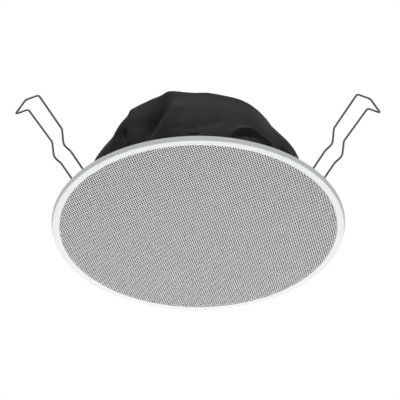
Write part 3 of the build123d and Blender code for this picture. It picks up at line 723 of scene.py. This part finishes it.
def rivet_tree():
    """Domed rivet on each point, with its shank below."""
    labels = ("Head radius", "Head height", "Shank radius", "Shank length")
    tree, sizes, end = geometry_tree("domed_rivets", labels)
    ball = node(tree, "GeometryNodeMeshUVSphere", {
        "Segments": RIVET_SIDES, "Rings": RIVET_SIDES // 2, "Radius": 1.0,
    })
    height = node(tree, "ShaderNodeSeparateXYZ", {
        "Vector": node(tree, "GeometryNodeInputPosition").outputs["Position"],
    }).outputs["Z"]
    half = node(tree, "GeometryNodeDeleteGeometry", {
        "Geometry": ball.outputs["Mesh"], "Selection": math(tree, "LESS_THAN", height, -0.001),
    }, domain="POINT")
    dome = node(tree, "GeometryNodeConvexHull", {"Geometry": half.outputs["Geometry"]})
    head_r = sizes.outputs["Head radius"]
    head = node(tree, "GeometryNodeTransform", {
        "Geometry": dome.outputs["Convex Hull"],
        "Scale": vector(tree, head_r, head_r, sizes.outputs["Head height"]),
    })
    length = sizes.outputs["Shank length"]
    shank = node(tree, "GeometryNodeMeshCylinder", {
        "Vertices": RIVET_SIDES, "Radius": sizes.outputs["Shank radius"], "Depth": length,
    })
    lowered = node(tree, "GeometryNodeTransform", {
        "Geometry": shank.outputs["Mesh"],
        "Translation": vector(tree, 0.0, 0.0, math(tree, "MULTIPLY", length, -0.5)),
    })
    rivet = joined(tree, head.outputs["Geometry"], lowered.outputs["Geometry"])
    copies = node(tree, "GeometryNodeInstanceOnPoints", {
        "Points": sizes.outputs["Geometry"], "Instance": rivet,
    })
    shown(tree, end, copies.outputs["Instances"], "zinc_steel")
    return tree


def rivets():
    """Two rivets through each clamp bracket."""
    points = []
    for azimuth in CLAMP_AZIMUTHS:
        turn = Matrix.Rotation(radians(azimuth), 3, "Z")
        for side in (1, -1):
            points.append(turn @ Vector((RIVET_AT_R, side * RIVET_AT_T, BRACKET_TOP_Z)))
    mesh = tree_mesh("rivets", rivet_tree(), {
        "Head radius": RIVET_HEAD_R,
        "Head height": RIVET_HEAD_T,
        "Shank radius": RIVET_R,
        "Shank length": BRACKET_TOP_Z - BAFFLE_FRONT_Z,
    }, points)
    smoothed(mesh, crease_angle=40.0)
    settle(placed("rivets", mesh, "zinc_steel"), PANEL, "zinc_steel", "bracket_rivets")


def rib_tree():
    """Drafted, round-edged rib on each point, pointing away from the axis."""
    labels = ("Length", "Height", "Foot width", "Crest width", "Rounding")
    tree, sizes, end = geometry_tree("channel_ribs", labels)
    height = sizes.outputs["Height"]
    section = node(tree, "GeometryNodeCurvePrimitiveQuadrilateral", {
        "Height": height, "Bottom Width": sizes.outputs["Foot width"],
        "Top Width": sizes.outputs["Crest width"], "Offset": 0.0,
    }, mode="TRAPEZOID")
    softened = node(tree, "GeometryNodeFilletCurve", {
        "Curve": section.outputs["Curve"], "Radius": sizes.outputs["Rounding"], "Count": 4,
    }, mode="POLY")
    rib = thickened(tree, filled(tree, softened.outputs["Curve"]), sizes.outputs["Length"])
    stood = node(tree, "GeometryNodeTransform", {
        "Geometry": rib, "Rotation": (radians(90.0), 0.0, radians(90.0)),
        "Translation": vector(tree, 0.0, 0.0, math(tree, "MULTIPLY", height, 0.5)),
    })
    outward = node(tree, "FunctionNodeAlignRotationToVector", {
        "Vector": node(tree, "GeometryNodeInputPosition").outputs["Position"],
    }, axis="X", pivot_axis="Z")
    copies = node(tree, "GeometryNodeInstanceOnPoints", {
        "Points": sizes.outputs["Geometry"], "Instance": stood.outputs["Geometry"],
        "Rotation": outward.outputs["Rotation"],
    })
    shown(tree, end, copies.outputs["Instances"], "white_moulding")
    return tree


def ribs():
    """Stiffening ribs in the channel between the collar and the spigot."""
    pitch = 360.0 / (len(CLAMP_AZIMUTHS) * (RIBS_PER_BAY + 1))
    points = []
    for azimuth in CLAMP_AZIMUTHS:
        for i in range(RIBS_PER_BAY):
            angle = radians(azimuth + pitch * (i + 1))
            points.append((RIB_INNER_R * cos(angle), RIB_INNER_R * sin(angle), CHANNEL_Z))
    mesh = tree_mesh("channel_ribs", rib_tree(), {
        "Length": SPIGOT_INNER_R - RIB_INNER_R,
        "Height": SPIGOT_TOP_Z - CHANNEL_Z,
        "Foot width": RIB_FOOT,
        "Crest width": RIB_CREST,
        "Rounding": RIB_ROUNDING,
    }, points)
    smoothed(mesh, crease_angle=35.0)
    settle(placed("channel_ribs", mesh, "white_moulding"), PANEL, "white_moulding", "panel_frame")


# Spring clamps

def filleted(corners, radii, step=9.0):
    """Points along straight runs whose inner corners are tangent arcs."""
    path = [corners[0]]
    for before, here, after, radius in zip(corners, corners[1:], corners[2:], radii):
        back = (before - here).normalized()
        ahead = (after - here).normalized()
        turn = pi - back.angle(ahead)
        reach = radius * tan(turn / 2)
        centre = here + (back + ahead).normalized() * (radius / cos(turn / 2))
        start = here + back * reach - centre
        axis = back.cross(ahead).normalized()
        count = max(3, ceil(degrees(turn) / step))
        for k in range(count + 1):
            path.append(centre + Matrix.Rotation(-turn * k / count, 3, axis) @ start)
    return path + [corners[-1]]


def clamp_corners():
    """Bend points of one clamp on the +X side, from one pivot end round the hook to the other."""
    leg = (LEG_LENGTH * cos(radians(LEG_ANGLE)), LEG_LENGTH * sin(radians(LEG_ANGLE)))
    line = [Vector((PIVOT_R, 0.0, PIVOT_Z))]
    for reach, rise in (leg, KINK, SHANK, ARM, HOOK):
        line.append(line[-1] + Vector((reach, 0.0, rise)))
    halves = [Vector((0.0, half, 0.0)) for half in LEG_HALF_SPACINGS]
    pin = Vector((0.0, PIN_INNER, 0.0))
    right = [point + half for point, half in zip(line, halves)]
    left = [point - half for point, half in zip(line, halves)]
    return [line[0] + pin] + right + left[::-1] + [line[0] - pin]


def wire_tube(name, path, radius, sides):
    """Round wire along a path, closed at both ends, with a map along and around it."""
    bm = bmesh.new()
    layer = bm.loops.layers.uv.new("wire")
    side = Vector((0.0, 0.0, 1.0))
    rings, along = [], [0.0]
    for i, point in enumerate(path):
        ahead = path[min(i + 1, len(path) - 1)] - path[max(i - 1, 0)]
        ahead.normalize()
        side = (side - ahead * side.dot(ahead)).normalized()
        across = ahead.cross(side)
        ring = []
        for k in range(sides):
            angle = 2 * pi * k / sides
            ring.append(bm.verts.new(point + (side * cos(angle) + across * sin(angle)) * radius))
        rings.append(ring)
        if i:
            along.append(along[-1] + (point - path[i - 1]).length)
    for i in range(len(rings) - 1):
        for k in range(sides):
            j = (k + 1) % sides
            face = bm.faces.new((rings[i][k], rings[i][j], rings[i + 1][j], rings[i + 1][k]))
            around = 2 * pi * radius / sides
            spots = [(along[i], k), (along[i], k + 1), (along[i + 1], k + 1), (along[i + 1], k)]
            for loop, (u, v) in zip(face.loops, spots):
                loop[layer].uv = (u, v * around)
    bm.faces.new(rings[0])
    bm.faces.new(rings[-1])
    return mesh_object(name, bm, "spring_wire", crease_angle=50.0)


def clamps():
    """Three wire loops, each on its own body."""
    bends = [CORNER_R, KINK_BEND_R, KINK_BEND_R, BEND_R, BEND_R / 2, CORNER_R]
    path = filleted(clamp_corners(), bends + bends[::-1])
    for number, azimuth in enumerate(CLAMP_AZIMUTHS, start=1):
        turn = Matrix.Rotation(radians(azimuth), 3, "Z")
        turned = [turn @ point for point in path]
        piece = wire_tube(f"clamp_wire_{number}", turned, WIRE_R, WIRE_SIDES)
        settle(piece, f"clamp_{number}", "spring_wire", f"spring_clamp_{number}")


# Dust bag: levels from the hem to the crown, as (height, radius, share of the folds, share of
# the lean, shift to the right)
BAG_HEM_Z = BAG_LOW[2]
BAG_HEM_R = 87.2 * MM
BAG_CROWN_Z = 90.3 * MM
BAG_LEAN = 0.5
BAG_LEVELS = [
    (BAG_HEM_Z, BAG_HEM_R, 0.0, 0.0, 0.0),
    (COLLAR_TOP_Z, BAG_HEM_R, 0.0, 0.0, 0.0),
    (BAG_CROWN_Z - 75.0 * MM, BAG_HEM_R, 0.8, 0.0, 0.0),
    (BAG_CROWN_Z - 65.0 * MM, BAG_HEM_R - 0.5 * MM, 1.0, 0.0, -0.5 * MM),
    (BAG_CROWN_Z - 54.0 * MM, BAG_HEM_R - 2.5 * MM, 1.0, 0.0, -0.5 * MM),
    (BAG_CROWN_Z - 46.0 * MM, BAG_HEM_R - 5.0 * MM, 1.0, 0.0, -0.5 * MM),
    (BAG_CROWN_Z - 38.0 * MM, BAG_HEM_R - 8.0 * MM, 1.0, 0.1, 0.0),
    (BAG_CROWN_Z - 31.0 * MM, BAG_HEM_R - 10.5 * MM, 1.0, 0.2, 0.0),
    (BAG_CROWN_Z - 24.0 * MM, BAG_HEM_R - 13.5 * MM, 1.0, 0.35, 0.0),
    (BAG_CROWN_Z - 12.0 * MM, BAG_HEM_R - 18.5 * MM, 1.0, 0.7, -1.0 * MM),
    (BAG_CROWN_Z - 2.5 * MM, BAG_HEM_R - 23.0 * MM, 0.8, 1.0, -1.0 * MM),
    (BAG_CROWN_Z, BAG_HEM_R - 50.0 * MM, 0.3, 1.0, 6.0 * MM),
    (BAG_CROWN_Z, 0.0, 0.0, 1.0, 6.0 * MM),
]
# Broad folds in degrees and millimetres, as (azimuth, drop below the crown, direction, reach,
# width, depth) on the unrolled side. A direction of 90 runs up the bag. Ridges stand out,
# valleys go in.
BAG_FOLDS = [
    (20.0, 34.0, 85.0, 36.0, 16.0, -2.0),
    (40.0, 38.0, 90.0, 16.0, 30.0, 4.0),
    (62.0, 39.0, 95.0, 34.0, 15.0, 2.0),
    (100.0, 38.0, 90.0, 16.0, 30.0, 4.0),
    (118.0, 37.0, 85.0, 34.0, 16.0, 2.0),
    (150.0, 39.0, 95.0, 36.0, 14.0, -2.0),
    (162.0, 38.0, 90.0, 16.0, 26.0, 4.0),
    (186.0, 39.0, 90.0, 34.0, 16.0, 2.0),
    (203.0, 66.0, 90.0, 10.0, 10.0, 1.0),
    (207.0, 39.0, 90.0, 16.0, 27.0, 4.5),
    (223.0, 33.0, 90.0, 14.0, 10.0, 5.0),
    (225.5, 11.0, 90.0, 10.0, 7.0, 2.0),
    (223.0, 22.0, 90.0, 9.0, 8.0, 2.0),
    (236.0, 7.0, 0.0, 12.0, 9.0, 0.5),
    (246.0, 39.0, 82.0, 32.0, 9.0, -5.0),
    (250.5, 3.0, 90.0, 14.0, 9.0, 5.0),
    (254.0, 35.0, 75.0, 32.0, 9.0, 3.0),
    (268.0, 0.0, 0.0, 18.0, 20.0, -3.0),
    (288.0, 0.0, 0.0, 18.0, 20.0, -2.0),
    (297.0, 56.0, 5.0, 15.0, 5.0, -0.5),
    (316.0, 33.0, 90.0, 13.0, 12.0, -1.5),
    (334.0, 40.0, 90.0, 16.0, 30.0, 5.0),
    (335.0, 64.0, 90.0, 10.0, 10.0, 4.0),
]
# Creases in degrees and millimetres, as a line of (azimuth, height) places that runs up or to the
# right, its depth, its widths on the left or upper side and on the right or lower side, and how
# soft it is
BAG_CREASES = [
    ([(240, 2), (245.5, 26), (251.5, 41), (256.5, 62), (254, 80)], 3.0, 2.5, 12.0, 1.5),
    ([(230, -12), (234, 12), (238, 26), (242.5, 36), (245.5, 46), (247.5, 58), (247.5, 72)],
     -9.0, 20.0, 6.5, 1.6),
    ([(258, 58), (260, 70), (259, 90)], -1.0, 2.5, 5.0, 1.4),
    ([(228, 16), (229, 32), (230, 42), (229, 54), (227, 66), (225, 80), (224, 92)],
     3.0, 2.0, 9.0, 1.4),
    ([(229.5, 38), (228, 46), (226, 55)], -2.8, 2.0, 1.3, 1.2),
    ([(226.5, 42), (224, 46), (221, 52)], -0.9, 3.0, 2.0, 1.3),
    ([(260, 27), (272, 37), (288, 48)], -2.0, 8.0, 9.0, 1.3),
    ([(256, 29), (259.5, 33.5), (262, 36.5)], -0.7, 2.5, 1.8, 1.2),
    ([(264, 24), (268, 26.5), (272, 25)], -1.5, 2.0, 5.0, 1.6),
    ([(285.5, 24), (290.5, 33.5), (295.5, 37.5), (299, 39), (303, 37), (309, 30)],
     3.0, 3.0, 1.5, 1.4),
    ([(288, 25), (291.5, 30.5), (295.5, 34), (300, 34.5), (304, 32.5)], -2.2, 1.6, 2.2, 1.6),
    ([(294, 22), (299, 27), (305, 25)], 1.8, 3.0, 7.0, 1.6),
    ([(303, 34), (307, 34.5), (311, 30.5), (313, 22)], 2.0, 3.0, 1.8, 1.4),
    ([(309.5, 20), (309.5, 27), (308, 32)], -2.0, 4.0, 4.0, 1.8),
    ([(321.5, 24), (321.5, 33), (320, 40)], -1.8, 3.0, 2.0, 1.5),
    ([(326, 22), (326, 34), (324, 42)], 1.2, 2.5, 6.0, 1.5),
    ([(350, 16), (353, 40), (349, 70)], 1.6, 3.0, 10.0, 1.5),
    ([(356, 30), (359, 52), (356, 76)], -1.6, 3.0, 9.0, 1.5),
    ([(14, 20), (20, 46), (24, 74)], -2.2, 9.0, 3.0, 1.5),
    ([(26, 18), (29, 45), (31, 72)], 1.8, 3.0, 10.0, 1.5),
    ([(44, 30), (58, 38), (72, 34)], -1.4, 9.0, 3.0, 1.6),
    ([(66, 20), (64, 48), (60, 76)], 1.6, 10.0, 3.0, 1.5),
    ([(100, 24), (108, 34), (120, 38), (130, 32)], 1.4, 8.0, 2.5, 1.5),
    ([(104, 22), (112, 31), (122, 33)], -2.0, 2.5, 7.0, 1.6),
    ([(140, 18), (146, 44), (150, 74)], -2.2, 9.0, 3.0, 1.5),
    ([(151, 18), (155, 46), (157, 72)], 1.8, 3.0, 10.0, 1.5),
    ([(172, 22), (180, 34), (192, 44)], -1.3, 10.0, 3.5, 1.6),
    ([(196, 20), (199, 46), (196, 72)], 1.6, 3.0, 9.0, 1.5),
]
CREASE_FADE = 0.3
CREASE_SPAN = 60.0
CLAMP_DENT = 0.9
CLAMP_DENT_SPAN = 14.0
GATHERS = 76
GATHER_DEPTH = 0.3 * MM
GATHER_REACH = 9.0 * MM
# Uneven spacing of the gathers, as (swing in radians, waves round the hem, start in degrees)
GATHER_WANDER = ((1.5, 5, 0.0), (0.9, 13, 40.0))
RUMPLE = 0.25 * MM
RUMPLE_SIZE = 24.0 * MM
# Fractal noise, as (roughness, step between octaves, octaves)
RUMPLE_OCTAVES = (0.5, 2.2, 3)
CROWN_SMOOTH_R = 20.0 * MM
BAG_COLUMNS = 460
BAG_ROWS = 190


def smooth_levels(levels, rows):
    """Evenly spaced levels on a smooth curve through the given ones."""
    table = np.array(levels)
    steps = np.hypot(np.diff(table[:, 0]), np.diff(table[:, 1]))
    at = np.concatenate([[0.0], np.cumsum(steps)])
    slopes = np.gradient(table, at, axis=0)
    wanted = np.linspace(0.0, at[-1], rows)
    i = np.clip(np.searchsorted(at, wanted) - 1, 0, len(at) - 2)
    span = (at[i + 1] - at[i])[:, None]
    t = ((wanted - at[i]) / (at[i + 1] - at[i]))[:, None]
    return (
        (2 * t**3 - 3 * t**2 + 1) * table[i] + (t**3 - 2 * t**2 + t) * span * slopes[i]
        + (3 * t**2 - 2 * t**3) * table[i + 1] + (t**3 - t**2) * span * slopes[i + 1]
    )


def smooth_step(value, low, high):
    """Soft rise from 0 to 1 between two values."""
    t = np.clip((value - low) / (high - low), 0.0, 1.0)
    return t * t * (3 - 2 * t)


def fold_depth(azimuth, height):
    """How far the broad folds carry the cloth out of round."""
    depth = np.zeros(np.broadcast(azimuth, height).shape)
    for centre, drop, direction, reach, width, rise in BAG_FOLDS:
        across = np.radians(azimuth_gap(azimuth, centre)) * BAG_HEM_R
        up = height - (BAG_CROWN_Z - drop * MM)
        along = across * cos(radians(direction)) + up * sin(radians(direction))
        off = up * cos(radians(direction)) - across * sin(radians(direction))
        depth += rise * MM * np.exp(-((along / (reach * MM)) ** 2) - (off / (width * MM)) ** 2)
    for centre in CLAMP_AZIMUTHS:
        depth -= CLAMP_DENT * MM * np.exp(-((azimuth_gap(azimuth, centre) / CLAMP_DENT_SPAN) ** 2))
    return depth


def corners_cut(line):
    """The same line with each inner corner cut off at a quarter of its sides."""
    cut = [line[0]]
    for (a, b), (c, d) in zip(line, line[1:]):
        cut.append((0.75 * a + 0.25 * c, 0.75 * b + 0.25 * d))
        cut.append((0.25 * a + 0.75 * c, 0.25 * b + 0.75 * d))
    return cut + [line[-1]]


def crease_depth(azimuth, height, line, depth, left, right, softness):
    """Depth of one crease: highest on its line, fading to both sides and towards its ends."""
    first = line[0][0]
    across = np.radians(azimuth_gap(azimuth, first)) * BAG_HEM_R
    softened = corners_cut(corners_cut(line))
    places = [(radians(azimuth_gap(a, first)) * BAG_HEM_R, z * MM) for a, z in softened]
    lengths = [sqrt((c - a) ** 2 + (d - b) ** 2) for (a, b), (c, d) in zip(places, places[1:])]
    nearest = np.full(np.broadcast(across, height).shape, np.inf)
    side = np.zeros_like(nearest)
    progress = np.zeros_like(nearest)
    passed = 0.0
    for (a, b), (c, d), length in zip(places, places[1:], lengths):
        ahead = ((c - a) / length, (d - b) / length)
        run = np.clip((across - a) * ahead[0] + (height - b) * ahead[1], 0.0, length)
        off_x = across - a - run * ahead[0]
        off_y = height - b - run * ahead[1]
        off = np.hypot(off_x, off_y)
        closer = off < nearest
        nearest = np.where(closer, off, nearest)
        side = np.where(closer, ahead[0] * off_y - ahead[1] * off_x, side)
        progress = np.where(closer, (passed + run) / sum(lengths), progress)
        passed += length
    width = np.where(side > 0.0, left, right) * MM
    fade = smooth_step(np.minimum(progress, 1 - progress), 0.0, CREASE_FADE)
    return depth * MM * fade * np.exp(-((nearest / width) ** softness))


def outward(surface):
    """Unit normals of a surface given as rows by closed columns of points."""
    around = np.roll(surface, -1, axis=1) - np.roll(surface, 1, axis=1)
    up = np.gradient(surface, axis=0)
    normal = np.cross(around, up)
    return normal / np.maximum(np.linalg.norm(normal, axis=2, keepdims=True), 1e-12)


def bag_surface():
    """Points of the bag's outer face, as rows from the hem to the crown by columns of azimuth."""
    levels = smooth_levels(BAG_LEVELS, BAG_ROWS)
    azimuth = (np.arange(BAG_COLUMNS) * 360.0 / BAG_COLUMNS)[None, :]
    height, radius, share, lean, shift = (levels[:, k:k + 1] for k in range(5))
    r = np.maximum(radius, 0.0) + share * fold_depth(azimuth, height) * (radius > 0.0)
    x = r * np.cos(np.radians(azimuth)) + shift
    y = r * np.sin(np.radians(azimuth))
    tilt = np.radians(BAG_LEAN * lean)
    surface = np.stack([x * np.cos(tilt), y, height - x * np.sin(tilt)], axis=2)
    depth = np.zeros_like(x)
    for crease in BAG_CREASES:
        near = np.abs(azimuth_gap(azimuth[0], crease[0][0][0])) < CREASE_SPAN
        depth[:, near] += crease_depth(azimuth[:, near], height, *crease)
    places = [Vector(point) / RUMPLE_SIZE for point in surface.reshape(-1, 3)]
    rumple = [noise.fractal(place, *RUMPLE_OCTAVES) for place in places]
    depth += RUMPLE * np.array(rumple).reshape(depth.shape)
    from_hem = smooth_step(height, COLLAR_TOP_Z, COLLAR_TOP_Z + GATHER_REACH)
    depth *= from_hem * smooth_step(radius, 0.0, CROWN_SMOOTH_R)
    above_collar = np.maximum(height - COLLAR_TOP_Z, 0.0)
    wander = sum(
        swing * np.sin(np.radians(waves * azimuth + start)) for swing, waves, start in GATHER_WANDER
    )
    gathers = np.sin(np.radians(GATHERS * azimuth) + wander)
    depth += GATHER_DEPTH * gathers * np.exp(-above_collar / GATHER_REACH)
    return surface + outward(surface) * depth[:, :, None]


def dust_bag():
    """Black cloth bag over the driver, gathered round the collar."""
    surface = bag_surface()
    bm = bmesh.new()
    layer = bm.loops.layers.uv.new("cloth")
    rows = [[bm.verts.new(point) for point in row] for row in surface]
    u = 2 * pi * BAG_HEM_R / BAG_COLUMNS
    v = (BAG_CROWN_Z + BAG_HEM_R) / BAG_ROWS
    for i in range(BAG_ROWS - 1):
        for j in range(BAG_COLUMNS):
            k = (j + 1) % BAG_COLUMNS
            face = bm.faces.new((rows[i][j], rows[i][k], rows[i + 1][k], rows[i + 1][j]))
            for loop, (a, b) in zip(face.loops, ((j, i), (j + 1, i), (j + 1, i + 1), (j, i + 1))):
                loop[layer].uv = (a * u, b * v)
    piece = mesh_object("bag_cloth", bm, "bag_cloth", crease_angle=180.0)
    settle(piece, PANEL, "bag_cloth", "dust_bag")


# Finishes of the CAD nodes that stay

def finish_nodes():
    """Give every node that is carried over the finish of its slot."""
    slots = {part["node"]: part["material_slot"] for part in frame["record"]["subparts"]}
    for name, piece in frame["nodes"].items():
        piece.data.materials.clear()
        piece.data.materials.append(FINISH[slots[name]])


# Studio

CAMERA_RISE = 36.793
CAMERA_ROLL = -0.1843
CAMERA_DISTANCE = 1060.93 * MM
CAMERA_AIM = (-1.294 * MM, 25.746 * MM)
CAMERA_LENS = 121.747
CAMERA_SENSOR = 36.0
CAMERA_CLIP = (0.05, 50.0)
FLOOR_Z = -1.4
FLOOR_SIZE = 30.0
FLOOR_GLOW = 0.2
STUDIO_LEVEL = 0.39
STUDIO_TINT = (0.96, 1.0, 1.015, 1.0)
WHITE = (1.0, 1.0, 1.0, 1.0)
# Lamps, as (name, place, aim, width, power)
LAMPS = (
    ("lamp_below", (0.0, 0.3, -0.78), (0.0, 0.0, 0.0), 0.9, 5.8),
    ("lamp_above", (0.12, -0.45, 1.3), (0.0, 0.0, 0.05), 0.6, 9.5),
    ("lamp_left", (-0.72, -0.1, 1.08), (0.0, 0.0, 0.05), 0.5, 1.5),
    ("lamp_front", (0.0, -1.4, 0.0), (0.0, 0.0, 0.0), 0.8, 2.0),
)
# Grained finish of the floor, as (dark, light, size of the grain, roughness, relief)
PALE_FLOOR = ((0.80, 0.80, 0.80), (0.84, 0.84, 0.84), 40.0 * MM, (0.8, 0.9), 0.1 * MM)


def camera():
    """Camera below the panel, looking up at its grille."""
    rise, roll = radians(CAMERA_RISE), radians(CAMERA_ROLL)
    ahead = Vector((0.0, cos(rise), sin(rise)))
    right = Vector((cos(roll), -sin(roll) * sin(rise), sin(roll) * cos(rise)))
    down = ahead.cross(right)
    centre = Vector((0.0, 0.0, BEZEL_FRONT_Z))
    place = centre - right * CAMERA_AIM[0] - down * CAMERA_AIM[1] - ahead * CAMERA_DISTANCE
    data = bpy.data.cameras.new("camera")
    data.lens = CAMERA_LENS
    data.sensor_width = CAMERA_SENSOR
    data.clip_start, data.clip_end = CAMERA_CLIP
    eye = bpy.data.objects.new("camera", data)
    facing = Matrix((right, -down, -ahead)).transposed().to_4x4()
    eye.matrix_world = Matrix.Translation(place) @ facing
    bpy.context.scene.collection.objects.link(eye)
    bpy.context.scene.camera = eye


def area_light(name, place, aim, size, power):
    """Soft lamp that the camera doesn't see."""
    data = bpy.data.lights.new(name, "AREA")
    data.shape = "DISK"
    data.size = size
    data.energy = power
    lamp = bpy.data.objects.new(name, data)
    ahead = (Vector(aim) - Vector(place)).normalized()
    facing = ahead.to_track_quat("-Z", "Y").to_matrix().to_4x4()
    lamp.matrix_world = Matrix.Translation(place) @ facing
    lamp.visible_camera = False
    bpy.context.scene.collection.objects.link(lamp)


def seen_by_camera(tree):
    """1 for what the camera sees, also in gloss or through glass, and 0 for what only lights."""
    rays = node(tree, "ShaderNodeLightPath").outputs
    seen = rays["Is Camera Ray"]
    for kind in ("Is Glossy Ray", "Is Transmission Ray"):
        seen = math(tree, "MAXIMUM", seen, rays[kind])
    return seen


def floor_finish():
    """Pale floor that shows a little brighter than the soft light makes it, and keeps shadows."""
    material = grained("pale_floor", *PALE_FLOOR)
    tree = material.node_tree
    shader = tree.nodes["Principled BSDF"]
    glow = math(tree, "MULTIPLY", seen_by_camera(tree), FLOOR_GLOW)
    shader.inputs["Emission Color"].default_value = WHITE
    tree.links.new(glow, shader.inputs["Emission Strength"])
    return material


def studio():
    """Even soft light, white behind the object, and a pale floor well below it."""
    world = bpy.data.worlds.new("studio")
    bpy.context.scene.world = world
    world.use_nodes = True
    tree = world.node_tree
    tree.nodes.clear()
    soft = node(tree, "ShaderNodeBackground", {"Color": STUDIO_TINT, "Strength": STUDIO_LEVEL})
    white = node(tree, "ShaderNodeBackground", {"Color": WHITE, "Strength": 1.0})
    mixed = node(tree, "ShaderNodeMixShader", {
        0: seen_by_camera(tree), 1: soft.outputs["Background"], 2: white.outputs["Background"],
    })
    node(tree, "ShaderNodeOutputWorld", {"Surface": mixed.outputs["Shader"]})
    for lamp in LAMPS:
        area_light(*lamp)
    floor_mesh = bpy.data.meshes.new("floor")
    half = FLOOR_SIZE / 2
    corners = [(-half, -half), (half, -half), (half, half), (-half, half)]
    floor_mesh.from_pydata([(x, y, FLOOR_Z) for x, y in corners], [], [(0, 1, 2, 3)])
    floor_mesh.materials.append(floor_finish())
    floor = bpy.data.objects.new("floor", floor_mesh)
    bpy.context.scene.collection.objects.link(floor)
    bpy.context.scene.view_settings.view_transform = "Standard"


panel_moulding()
ribs()
rivets()
grille()
scrim()
clamps()
dust_bag()
finish_nodes()
camera()
studio()
